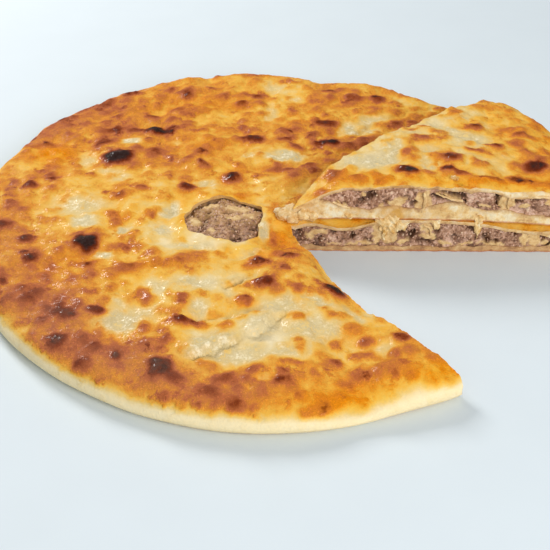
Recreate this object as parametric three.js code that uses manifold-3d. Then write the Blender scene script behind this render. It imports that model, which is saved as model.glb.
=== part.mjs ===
// A round, thin, filled flat pie, with one slice cut out and laid on top of it beside the gap.
// Millimetres, +Z up. The origin is on the flat underside, at the middle of the round outline.
import * as THREE from "three";
import { mergeVertices } from "three/addons/utils/BufferGeometryUtils.js";
import Module from "manifold-3d";

const wasm = await Module();
wasm.setup();

// Driving dimensions of the whole pie
const RADIUS = 165;
const CENTRE_HEIGHT = 21;
const RIM_FALL = 5.2; // how much lower the top is at the rim than at the middle
const RIM_FALL_TURN = 1.6; // the rim stands this much higher at the back and lower in front
const RIM_BELLY = 0.42; // height share at which the rim reaches furthest out
const RIM_ROUND = 0.07; // share of the radius that the rounded shoulder takes
const FOOT_INSET = 0.035; // share of the radius by which the foot of the rim turns in

// Dough and filling
const TOP_DOUGH = 4.2;
const BOTTOM_DOUGH = 3;
const RIM_DOUGH = 15; // width of plain dough between the filling and the outside
const FILLING_CORNER = 0.06; // share of the filling's radius that its rounded edge takes
const CLEARANCE = 0.3; // gap between two pieces that touch

// Relief of the top: broad swells over the lumps of filling, and the largest blisters
const SWELL = { size: 0.8, longest: 52, shortest: 24, count: 9 };
const BLISTERS = [
  { x: -86, y: 43, across: 10, rise: 2.2 },
  { x: -68, y: 75, across: 9, rise: 1.6 },
  { x: -11, y: 65, across: 8, rise: 1.8 },
  { x: -97, y: -42, across: 9, rise: 1.8 },
  { x: -1, y: -77, across: 9, rise: 2.2 },
  { x: 36, y: -76, across: 10, rise: 2.4 },
  { x: -41, y: -107, across: 11, rise: 1.8 },
  { x: -51, y: -138, across: 11, rise: 1.4 },
  { x: -101, y: -101, across: 11, rise: 1.4 },
  { x: 33, y: 80, across: 10, rise: 1.8 },
];

// Small departures of the outline from a circle: direction, depth (inwards is negative), spread
const OUTLINE_DENTS = [
  { at: 79, depth: -8.5, spread: 9 },
  { at: 69, depth: -2, spread: 6 },
  { at: 53, depth: -3, spread: 7 },
  { at: 145, depth: 2.5, spread: 6 },
  { at: 157, depth: -2.5, spread: 6 },
  { at: -140, depth: -3.2, spread: 28 },
  { at: -57, depth: 3, spread: 8 },
];

// The steam vent in the top, left of the middle
const VENT = { x: -22, y: -21, acrossX: 40, acrossY: 40, dip: 1.6, dipReach: 30, well: 2.4 };

// The gap where the slice was: a straight cut at the back and a bowed one in front
const GAP_TIP = new THREE.Vector2(13, -19);
const GAP_BACK_END = new THREE.Vector2(190, -20.4);
const GAP_FRONT_TIP = new THREE.Vector2(14, -24);
const GAP_FRONT_BEND = new THREE.Vector2(42.5, -87);
const GAP_FRONT_END = new THREE.Vector2(98, -144);
const GAP_OUTSIDE = new THREE.Vector2(190, -150);
const TIP_SAG = { x: 9, y: -33, depth: 7, reach: 12 }; // dough that slumps at the gap's tip
const EDGE_DROP = { depth: 3.6, reach: 8 }; // how the knife pressed the top down along the front cut

// The slice that lies on the pie
const SLICE_TIP = new THREE.Vector2(13, -19.4);
const SLICE_LENGTH = 171;
const SLICE_ANGLE = 45.5; // degrees from its front cut, which runs along +X
const SLICE_BEND = 4.5; // degrees by which its back cut turns in over the outer half
const SLICE_HEIGHT = 22.4;
const SLICE_RIM_FALL = 4;
const SLICE_TIP_HEIGHT = 5;
const SLICE_TIP_TAPER = 42; // length over which the tip thickens, fastest at first
const SLICE_BOTTOM_DOUGH = 6.5;
const SLICE_TOP_DOUGH = 2.6;
const SLICE_FILLING_START = 14; // distance from the tip at which the filling begins
const SLICE_SWELL = 0.7;
const PRESSED_MARGIN = 9; // the slice flattens the relief under it and this far around it

// Crumbly cut faces of the filling
const MINCE = { depth: 1.1, longest: 15, shortest: 6, count: 6 };
const MINCE_STEP = 4.5;
const MINCE_LEVELS = 5;

// How finely the rounded bodies are divided
const PIE_SEGMENTS = 92;
const PIE_RINGS = 17;
const FILLING_RINGS = 9;
const FILLING_SEGMENTS = 60;
const SLICE_SEGMENTS = 112;
const SLICE_RINGS = 14;
const WEDGE_STEP = 14;
const TIP_PLUG_STEP = 3;
const RIM_STEPS = 4;
const FOOT_STEPS = 2;
const TALL = 80; // height of the cutting bodies, well above everything

const GOLDEN_ANGLE = Math.PI * (3 - Math.sqrt(5));

// Waves of several lengths crossing at golden angles, which add up to an even, lumpy field of about -1 to 1.
function waves(u, v, { longest, shortest, count }) {
  let sum = 0;
  for (let i = 0; i < count; i++) {
    const length = longest + ((shortest - longest) * i) / (count - 1);
    const along = u * Math.cos(i * GOLDEN_ANGLE) + v * Math.sin(i * GOLDEN_ANGLE);
    sum += Math.sin((2 * Math.PI * along) / length + i * i);
  }
  return sum / Math.sqrt(count);
}

const bell = (distance, spread) => Math.exp(-((distance / spread) ** 2));
const smooth = (t) => THREE.MathUtils.smoothstep(t, 0, 1);
const easeOut = (t) => 1 - (1 - THREE.MathUtils.clamp(t, 0, 1)) ** 2;

// Radius of the pie's outline in one direction
function outline(angle) {
  let radius = RADIUS + 0.9 * Math.sin(3 * angle + 1) + 0.6 * Math.sin(7 * angle);
  for (const { at, depth, spread } of OUTLINE_DENTS) {
    const off = THREE.MathUtils.euclideanModulo(THREE.MathUtils.radToDeg(angle) - at + 180, 360) - 180;
    radius += depth * bell(off, spread);
  }
  return radius;
}

// Height of the smooth dome, before any relief
function dome(x, y) {
  const fall = RIM_FALL - (RIM_FALL_TURN * y) / RADIUS;
  return CENTRE_HEIGHT - fall * Math.min(Math.hypot(x, y) / RADIUS, 1) ** 3;
}

// Direction of the slice's back cut, in radians, at a distance from its tip
function backTurn(distance) {
  const bend = SLICE_BEND * smooth(distance / SLICE_LENGTH - 0.25);
  return THREE.MathUtils.degToRad(SLICE_ANGLE - bend);
}

// How far a point lies outside the slice's footprint, in millimetres: 0 inside it
function outsideSlice(x, y) {
  const dx = x - SLICE_TIP.x;
  const dy = y - SLICE_TIP.y;
  const distance = Math.hypot(dx, dy);
  const turn = backTurn(distance);
  const front = -dy;
  const back = dy * Math.cos(turn) - dx * Math.sin(turn);
  return Math.max(0, front, back, distance - SLICE_LENGTH);
}

const gapFront = new THREE.QuadraticBezierCurve(GAP_FRONT_END, GAP_FRONT_BEND, GAP_FRONT_TIP);
const gapFrontPlaces = gapFront.getSpacedPoints(50);

// How much lower the top is because of the gap's front cut and its slumped tip
function edgeDrop(x, y) {
  const nearest = Math.min(...gapFrontPlaces.map((p) => Math.hypot(x - p.x, y - p.y)));
  const sag = TIP_SAG.depth * bell(Math.hypot(x - TIP_SAG.x, y - TIP_SAG.y), TIP_SAG.reach);
  return EDGE_DROP.depth * bell(nearest, EDGE_DROP.reach) + sag;
}

// Height of the pie's top at any place
function topHeight(x, y) {
  let relief = SWELL.size * waves(x, y, SWELL);
  for (const b of BLISTERS) relief += b.rise * bell(Math.hypot(x - b.x, y - b.y), b.across / 1.7);
  relief *= smooth(outsideSlice(x, y) / PRESSED_MARGIN);
  const fromVent = Math.max(0, Math.hypot(x - VENT.x, y - VENT.y) - VENT.acrossX / 2);
  const dip = VENT.dip * bell(fromVent, VENT.dipReach / 2);
  return dome(x, y) + relief - dip - edgeDrop(x, y);
}

// Half of a round body's section in shares of its radius and height, from the axis below to the axis above.
function unitSection({ foot, round, belly, rings, floorRings = 1 }) {
  const points = [];
  for (let i = 0; i < floorRings; i++) points.push(new THREE.Vector2(((1 - foot) * i) / floorRings, 0));
  for (let i = 0; i <= FOOT_STEPS; i++) {
    const t = (i / FOOT_STEPS) * (Math.PI / 2);
    points.push(new THREE.Vector2(1 - foot + foot * Math.sin(t), belly * (1 - Math.cos(t))));
  }
  for (let i = 1; i <= RIM_STEPS; i++) {
    const t = (i / RIM_STEPS) * (Math.PI / 2);
    points.push(new THREE.Vector2(1 - round + round * Math.cos(t), belly + (1 - belly) * Math.sin(t)));
  }
  for (let i = 1; i <= rings; i++) {
    points.push(new THREE.Vector2((1 - round) * (1 - i / rings), 1));
  }
  return points;
}

// A closed geometry as a solid that can be joined and cut.
function toSolid(geometry) {
  const bare = new THREE.BufferGeometry().setAttribute("position", geometry.getAttribute("position"));
  bare.setIndex(geometry.index);
  const merged = mergeVertices(bare, 1e-4);
  const corners = merged.index.array;
  const kept = [];
  for (let i = 0; i < corners.length; i += 3) {
    const [a, b, c] = corners.slice(i, i + 3);
    if (a !== b && b !== c && c !== a) kept.push(a, b, c);
  }
  const vertProperties = merged.getAttribute("position").array;
  const mesh = new wasm.Mesh({ numProp: 3, vertProperties, triVerts: new Uint32Array(kept) });
  return new wasm.Manifold(mesh);
}

// A round body about a vertical axis, each vertex then moved by place(share of radius, angle, share of height).
function roundSolid(section, segments, place) {
  const geometry = new THREE.LatheGeometry(section, segments).rotateX(Math.PI / 2);
  const position = geometry.getAttribute("position");
  const moved = new THREE.Vector3();
  for (let i = 0; i < position.count; i++) {
    const x = position.getX(i);
    const y = position.getY(i);
    place(moved, Math.hypot(x, y), Math.atan2(y, x), position.getZ(i));
    position.setXYZ(i, moved.x, moved.y, moved.z);
  }
  return toSolid(geometry);
}

// An upright cutting body with the given outline, its walls moved by move(vertex) where that is given.
function cutter(points, { from = -5, levels = 1, move } = {}) {
  const options = { depth: TALL, steps: levels, bevelEnabled: false };
  const geometry = new THREE.ExtrudeGeometry(new THREE.Shape(points), options).translate(0, 0, from);
  if (move) {
    const position = geometry.getAttribute("position");
    const vertex = new THREE.Vector3();
    for (let i = 0; i < position.count; i++) {
      move(vertex.fromBufferAttribute(position, i));
      position.setXYZ(i, vertex.x, vertex.y, vertex.z);
    }
  }
  return toSolid(geometry);
}

// Points along a line or curve about one step apart, without the last one
function along(curve, step) {
  return curve.getSpacedPoints(Math.max(1, Math.round(curve.getLength() / step))).slice(0, -1);
}

// Outline of the gap, walked round so that its inside is on the left
function gapOutline(step) {
  const back = new THREE.LineCurve(GAP_TIP, GAP_BACK_END);
  return [...along(gapFront, step), GAP_FRONT_TIP, ...along(back, step), GAP_BACK_END, GAP_OUTSIDE].reverse();
}

// Depth of the crumbly face behind the knife's cut
function minceDepth(s, z) {
  return CLEARANCE + MINCE.depth * (1 + waves(s, 1.6 * z, MINCE));
}

// The gap's cutting body for the filling, with walls that follow the crumbs of the mince
function crumblyGap() {
  const middle = GAP_FRONT_END.clone().sub(GAP_FRONT_TIP).normalize();
  const frontOut = new THREE.Vector2(middle.y, -middle.x); // towards the front part of the pie
  const backLine = (x) => {
    const share = (x - GAP_TIP.x) / (GAP_BACK_END.x - GAP_TIP.x);
    return THREE.MathUtils.lerp(GAP_TIP.y, GAP_BACK_END.y, share);
  };
  const move = (v) => {
    const depth = minceDepth(v.x, v.z);
    if (Math.abs(v.y - backLine(v.x)) < 1e-3) v.y += depth;
    else if (v.x < GAP_OUTSIDE.x - 1) v.addScaledVector(new THREE.Vector3(frontOut.x, frontOut.y, 0), depth);
  };
  const levels = Math.round(TALL / (CENTRE_HEIGHT / MINCE_LEVELS));
  return cutter(gapOutline(MINCE_STEP), { levels, move });
}

// The whole round pie as one lump of dough
function pieBody() {
  const section = unitSection({ foot: FOOT_INSET, round: RIM_ROUND, belly: RIM_BELLY, rings: PIE_RINGS });
  return roundSolid(section, PIE_SEGMENTS, (out, share, angle, rise) => {
    const radius = share * outline(angle);
    const x = radius * Math.cos(angle);
    const y = radius * Math.sin(angle);
    out.set(x, y, rise * topHeight(x, y));
  });
}

// The bed of filling inside it, grown by a margin on every side
function pieFillingBody(margin) {
  const section = unitSection({ foot: 0.02, round: FILLING_CORNER, belly: 0.4, rings: FILLING_RINGS });
  const low = BOTTOM_DOUGH - margin;
  return roundSolid(section, FILLING_SEGMENTS, (out, share, angle, rise) => {
    const radius = share * (outline(angle) - RIM_DOUGH + margin);
    const x = radius * Math.cos(angle);
    const y = radius * Math.sin(angle);
    const well = VENT.well * bell(Math.hypot(x - VENT.x, y - VENT.y), VENT.acrossX / 2);
    const high = topHeight(x, y) - TOP_DOUGH - well + margin;
    out.set(x, y, low + rise * (Math.max(high, low + 2) - low));
  });
}

function ventCutter() {
  const hole = new THREE.EllipseCurve(VENT.x, VENT.y, VENT.acrossX / 2, VENT.acrossY / 2);
  return cutter(along(hole, 5.5), { from: BOTTOM_DOUGH + 3 });
}

// Thickness of the slice at a distance from its tip
function sliceThickness(distance, x, y) {
  const body = SLICE_HEIGHT - SLICE_RIM_FALL * Math.min(distance / SLICE_LENGTH, 1) ** 3;
  const taper = easeOut(distance / SLICE_TIP_TAPER);
  const relief = SLICE_SWELL * waves(x + 60, y - 40, SWELL) * taper;
  return SLICE_TIP_HEIGHT + (body - SLICE_TIP_HEIGHT) * taper + relief;
}

// The slice's round body about its tip. shape(distance, x, y) gives its lowest and highest point there.
function sliceRound(section, reach, shape) {
  return roundSolid(section, SLICE_SEGMENTS, (out, share, angle, rise) => {
    const distance = share * reach;
    const x = SLICE_TIP.x + distance * Math.cos(angle);
    const y = SLICE_TIP.y + distance * Math.sin(angle);
    const [low, high] = shape(distance, x, y);
    out.set(x, y, low + rise * (high - low));
  });
}

// Wedge-shaped cutting body that keeps the slice, or its filling when it starts away from the tip
function sliceWedge({ start = 0, step = WEDGE_STEP, levels = 1, crumbly = false } = {}) {
  const far = SLICE_LENGTH * 1.3;
  const steps = Math.max(1, Math.round((far - start) / step));
  const distances = Array.from({ length: steps + 1 }, (_, i) => start + ((far - start) * i) / steps);
  const at = (angle, distance) => {
    const way = new THREE.Vector2(Math.cos(angle), Math.sin(angle));
    return SLICE_TIP.clone().addScaledVector(way, distance);
  };
  const frontWall = distances.map((distance) => at(0, distance));
  const backWall = distances.map((distance) => at(backTurn(distance), distance)).reverse();
  const points = [...frontWall, ...(start ? backWall : backWall.slice(0, -1))];
  const turn = backTurn(SLICE_LENGTH / 2);
  const backIn = new THREE.Vector3(Math.sin(turn), -Math.cos(turn), 0);
  const move = (v) => {
    const depth = minceDepth(v.x + v.y, v.z);
    if (Math.abs(v.y - SLICE_TIP.y) < 1e-3) v.y += depth;
    else v.addScaledVector(backIn, depth);
  };
  return cutter(points, crumbly ? { levels, move } : {});
}

// The round of plain dough at the slice's tip, which the filling doesn't reach
function sliceTipPlug() {
  const halfTurn = THREE.MathUtils.degToRad(SLICE_ANGLE / 2);
  const reach = SLICE_FILLING_START * Math.cos(halfTurn) - CLEARANCE;
  return cutter(along(new THREE.EllipseCurve(SLICE_TIP.x, SLICE_TIP.y, reach, reach), TIP_PLUG_STEP));
}

function sliceBody() {
  const rings = SLICE_RINGS;
  const section = unitSection({ foot: 0.04, round: RIM_ROUND, belly: RIM_BELLY, rings, floorRings: rings });
  return sliceRound(section, SLICE_LENGTH, (distance, x, y) => {
    const low = dome(x, y) + CLEARANCE;
    return [low, low + sliceThickness(distance, x, y)];
  });
}

function sliceFillingBody(margin) {
  const rings = FILLING_RINGS;
  const section = unitSection({ foot: 0.02, round: FILLING_CORNER, belly: 0.4, rings, floorRings: rings });
  return sliceRound(section, SLICE_LENGTH - RIM_DOUGH + margin, (distance, x, y) => {
    const floor = dome(x, y) + CLEARANCE;
    const low = floor + SLICE_BOTTOM_DOUGH * smooth(distance / SLICE_TIP_TAPER + 0.3) - margin;
    const high = floor + sliceThickness(distance, x, y) - SLICE_TOP_DOUGH + margin;
    return [low, Math.max(high, low + 0.5)];
  });
}

// A finished solid as a named, coloured mesh
function piece(name, solid, color, roughness) {
  const { numProp, numVert, vertProperties, triVerts } = solid.getMesh();
  const places = new Float32Array(numVert * 3);
  for (let i = 0; i < numVert; i++) {
    places.set(vertProperties.subarray(i * numProp, i * numProp + 3), i * 3);
  }
  const geometry = new THREE.BufferGeometry();
  geometry.setAttribute("position", new THREE.BufferAttribute(places, 3));
  geometry.setIndex(new THREE.BufferAttribute(triVerts, 1));
  geometry.computeVertexNormals();
  const mesh = new THREE.Mesh(geometry, new THREE.MeshStandardMaterial({ color, roughness, metalness: 0 }));
  mesh.name = name;
  return mesh;
}

function buildPie() {
  const hollow = pieFillingBody(CLEARANCE);
  const crust = pieBody().subtract(hollow).subtract(ventCutter()).subtract(cutter(gapOutline(12)));
  const filling = pieFillingBody(0).subtract(crumblyGap());
  const pie = new THREE.Group();
  pie.add(piece("pie_crust", crust, 0xd9923f, 0.5));
  pie.add(piece("pie_filling", filling, 0x8f7360, 0.75));
  return pie;
}

function buildSlice() {
  const hollow = sliceFillingBody(CLEARANCE).subtract(sliceTipPlug());
  const crust = sliceBody().intersect(sliceWedge()).subtract(hollow);
  const levels = Math.round(TALL / (SLICE_HEIGHT / MINCE_LEVELS));
  const crumbs = sliceWedge({ start: SLICE_FILLING_START, step: MINCE_STEP, levels, crumbly: true });
  const filling = sliceFillingBody(0).intersect(crumbs);
  const slice = new THREE.Group();
  slice.add(piece("slice_crust", crust, 0xdca251, 0.5));
  slice.add(piece("slice_filling", filling, 0x977a68, 0.75));
  return slice;
}

const flatPie = new THREE.Group();
flatPie.add(buildPie(), buildSlice());

export default flatPie;
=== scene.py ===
"""Dresses a round filled flat pie, with its cut slice laid on top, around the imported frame.

The shape functions work in millimetres, in the frame's own axes; meshes are written in metres.
"""

import math

import bpy
import numpy as np
from bpy.props import FloatProperty, FloatVectorProperty, IntProperty, PointerProperty
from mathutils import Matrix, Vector


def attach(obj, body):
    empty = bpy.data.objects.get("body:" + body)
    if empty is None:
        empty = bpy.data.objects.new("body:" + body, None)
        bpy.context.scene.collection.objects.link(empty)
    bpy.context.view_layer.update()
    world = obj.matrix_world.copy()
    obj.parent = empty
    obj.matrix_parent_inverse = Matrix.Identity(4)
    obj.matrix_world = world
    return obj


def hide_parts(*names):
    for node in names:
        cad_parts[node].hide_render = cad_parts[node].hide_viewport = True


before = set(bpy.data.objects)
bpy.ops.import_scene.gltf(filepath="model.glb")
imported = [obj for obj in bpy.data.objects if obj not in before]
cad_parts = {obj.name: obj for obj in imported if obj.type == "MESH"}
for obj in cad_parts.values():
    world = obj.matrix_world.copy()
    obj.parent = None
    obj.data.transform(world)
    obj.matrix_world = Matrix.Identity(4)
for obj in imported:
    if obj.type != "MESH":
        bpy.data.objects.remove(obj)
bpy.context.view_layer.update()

bl_info = {
    "name": "Filled Pie Builder",
    "version": (1, 0, 0),
    "blender": (4, 5, 0),
    "location": "View3D > Sidebar > Pie",
    "description": "Builds the crust, the minced filling and the cut slice of a round filled pie",
    "category": "Add Mesh",
}

MM = 0.001
BODY = "root"
DOUGH_SLOT = "baked_dough"
FILLING_SLOT = "minced_filling"
GOLDEN_ANGLE = math.pi * (3 - math.sqrt(5))
FAR = 1e6
# Factors that turn a cell of a grid and a seed into a random share
HASH_COLUMN, HASH_ROW, HASH_SEED, HASH_SPREAD = 127.1, 311.7, 74.7, 43758.5453
NOISE_GAIN = 1.5
CELL_MARGIN, CELL_ROOM = 0.15, 0.7
# Offsets from the seed that keep the random fields apart
NOISE_SEED_STEP, CELL_Y_SEED, CELL_SHARE_SEED, ONION_SEED = 13, 5, 9, 9
WRINKLE_SEED, BROAD_SEED, RIDGE_SEED, PALE_SEED = 20, 30, 40, 50
BLISTER_SEED, THIN_SEED, FOLD_SEED = 70, 90, 95
FLOOR_SEED, CUT_SEED, RIM_SEED, BASE_SEED, STAIN_SEED, LAYER_SEED = 121, 140, 160, 161, 162, 180
VENT_SEED, LOWER_SEED, UPPER_SEED, TEAR_SEED, TEAR_SEED_STEP = 200, 220, 240, 300, 7

# The pie's driving dimensions, in millimetres
RADIUS = 165.0
CENTRE_HEIGHT = 21.0
RIM_FALL = 5.2
RIM_FALL_TURN = 1.6
RIM_BELLY = 0.42
RIM_ROUND = 0.07
FOOT_INSET = 0.035
# The rim's foot is rounder at the front left: direction and spread in degrees, how much farther in
LEFT_FOOT_AT, LEFT_FOOT_SPREAD, LEFT_FOOT = -135.0, 34.0, 5.0
TOP_DOUGH = 4.2
BOTTOM_DOUGH = 3.0
RIM_DOUGH = 10.0
CLEARANCE = 0.3
# The mince reaches this far into the dough, so that no line shows between them
BEDDED = 0.1
# The top dough is thinner where it is cut or torn
CUT_TOP_DOUGH, CUT_REACH = 1.9, 14.0
LIP_DOUGH, LIP_REACH, LIP_RISE, LIP_WIDTH = -0.3, 6.0, 1.0, 4.5
# Least dough over the filling, kept at each place and at its neighbours this far away
THINNEST_DOUGH, THIN_CHECK = 1.0, 2.2
NEIGHBOURS = ((0, 0), (THIN_CHECK, 0), (-THIN_CHECK, 0), (0, THIN_CHECK), (0, -THIN_CHECK))
# How much lower the mince is where it is hidden
HIDDEN_SUNK = 1.2
# The lower dough's ragged top
FLOOR_LUMPS, FLOOR_LUMP_SIZE, LOWEST_FLOOR = 1.9, 9, 1.2
# The room for the filling, and how far the slice's room goes past its cuts
HOLLOW_FOOT, HOLLOW_ROUND, HOLLOW_BELLY, HOLLOW_LEAST = 0.02, 0.06, 0.4, 2
SLICE_ROOM_SPARE = 2.0
# Waves of the broad relief
SWELL_LONGEST, SWELL_SHORTEST, SWELL_COUNT, SWELL_SIZE = 52.0, 24.0, 9, 0.8

# The largest blisters: place, width and rise
BLISTERS = (
    (-86, 43, 10, 2.2), (-68, 75, 9, 1.6), (-11, 65, 8, 1.8), (-97, -42, 9, 1.8), (-1, -77, 9, 2.2),
    (36, -76, 10, 2.4), (-41, -107, 11, 1.8), (-51, -138, 11, 1.4), (-101, -101, 11, 1.4),
    (33, 80, 10, 1.8),
)
BLISTER_PEAK = 1.7
# The outline's waves: height, count, shift; and its dents: direction in degrees, depth, spread in degrees
OUTLINE_WAVES = ((0.9, 3, 1), (0.6, 7, 0))
OUTLINE_DENTS = (
    (79, -8.5, 9), (69, -2, 6), (53, -3, 7), (145, 2.5, 6), (157, -2.5, 6), (-140, -3.2, 28), (-57, 3, 8),
)
# The steam vent, the dip round it, and the furrow in the filling along its edge
VENT_X, VENT_Y, VENT_REACH = -22.0, -21.0, 20.0
VENT_DIP, VENT_DIP_REACH = 1.6, 15.0
VENT_MOAT, VENT_MOAT_WIDTH = 2.2, 3.6
MOAT_FRONT, MOAT_BACK, MOAT_MIDDLE = 0.1, 0.7, 0.4
# The vent's cutter
VENT_FLOOR, VENT_TALL, VENT_NARROW, VENT_FLARE = 3, 40, 0.94, 0.12
VENT_RISES = (1, 0.6, 0.4, 0.3, 0.2, 0.1, 0)
# The torn edge's ripples: height, count, shift; and the edge: direction in degrees, distance
VENT_RIPPLES = ((0.2, 9, 0), (0.15, 23, 1))
VENT_EDGE = (
    (-166, 22.0), (-157, 21.8), (-140, 18.6), (-108, 17.0), (-80, 19.4), (-54, 20.0), (-33, 20.4),
    (-3, 17.8), (14, 20.6), (33, 23.2), (50, 22.0), (69, 22.0), (88, 23.6), (105, 24.4), (124, 24.2),
    (151, 23.2), (177, 22.4),
)

# The gap where the slice was cut out, and how the dough sags beside it
GAP_TIP = (13.0, -19.0)
GAP_BACK_END = (190.0, -20.4)
GAP_FRONT_TIP = (14.0, -24.0)
GAP_FRONT_BEND = (42.5, -87.0)
GAP_FRONT_END = (98.0, -144.0)
TIP_SAG_X, TIP_SAG_Y, TIP_SAG, TIP_SAG_REACH = 9.0, -33.0, 7.0, 12.0
EDGE_DROP, EDGE_DROP_REACH, CORNER_REACH = 3.6, 8.0, 34.0
# The gap's cutter: how far it bulges past the rim, how far it reaches past its walls, and the walls' heights
GAP_BULGE = (60.0, -45.0)
CUT_BELOW, CUT_ABOVE = 12, 40
CRUST_CUT_LOW, CRUST_CUT_HIGH = -1.0, 24.0
MINCE_CUT_LOW, MINCE_CUT_HIGH = 2.2, 18.5
CUT_STEP = 0.01
# Where the top dough bends down under the slice along the back cut: place along the cut, depth, half length
BACK_DROPS = ((41, 6.0, 16), (142, 4.2, 22))
BACK_DROP_REACH = 7.0
# Rounding of the corner where the front cut meets the rim
CORNER_ROUND = 4.0

# The slice
SLICE_TIP = (13.0, -19.4)
SLICE_LENGTH = 171.0
SLICE_ANGLE = 45.5
SLICE_BEND, SLICE_BEND_START = 4.5, 0.25
SLICE_HEIGHT = 22.4
SLICE_RIM_FALL = 4.0
SLICE_TIP_HEIGHT, SLICE_TIP_TAPER, SLICE_BLUNT = 5.0, 42.0, 1.2
# Thickness of the slice's top dough at places along the cut
SLICE_CRUST_LINE = (
    (28, 1.1), (92, 1.2), (104, 1.6), (112, 2.3), (122, 2.5), (130, 4.2), (150, 3.6), (170, 3.6),
)
# Top of the slice's lower dough: place along the cut, height over the slice's underside
SLICE_DOUGH_LINE = (
    (28, 13), (34, 10), (40, 8), (48, 7), (54, 5.6), (60, 7.5), (66, 8.5), (74, 7), (82, 6.5), (88, 9),
    (95, 11.5), (103, 11), (110, 8), (118, 6.8), (126, 8), (133, 6.2), (142, 5.5), (170, 5.5),
)
# Where butter and juice have stained the slice's cut dough: place along the cut, half length, strength
SLICE_STAINS = ((20, 8, 0.5), (50, 5, 0.35), (69, 7, 1.1), (92, 6, 0.45), (110, 9, 0.3), (138, 8, 0.3))
SLICE_FILLING_START = 15.0
SLICE_SWELL, SLICE_SWELL_SHIFT = 0.7, (60, -40)
SLICE_FOOT = 0.04
# Raggedness of the slice's filling below and above
LAYER_LOW, LAYER_LOW_SIZE, LAYER_HIGH, LAYER_HIGH_SIZE, LAYER_LEAST = 0.8, 9, 0.5, 10, 0.8
SLICE_EDGE_DROP, SLICE_EDGE_REACH = 1.6, 5.0
# How far from the slice the pie's relief is pressed flat
PRESSED_MARGIN, PRESSED_START = 9.0, 0.2

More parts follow.
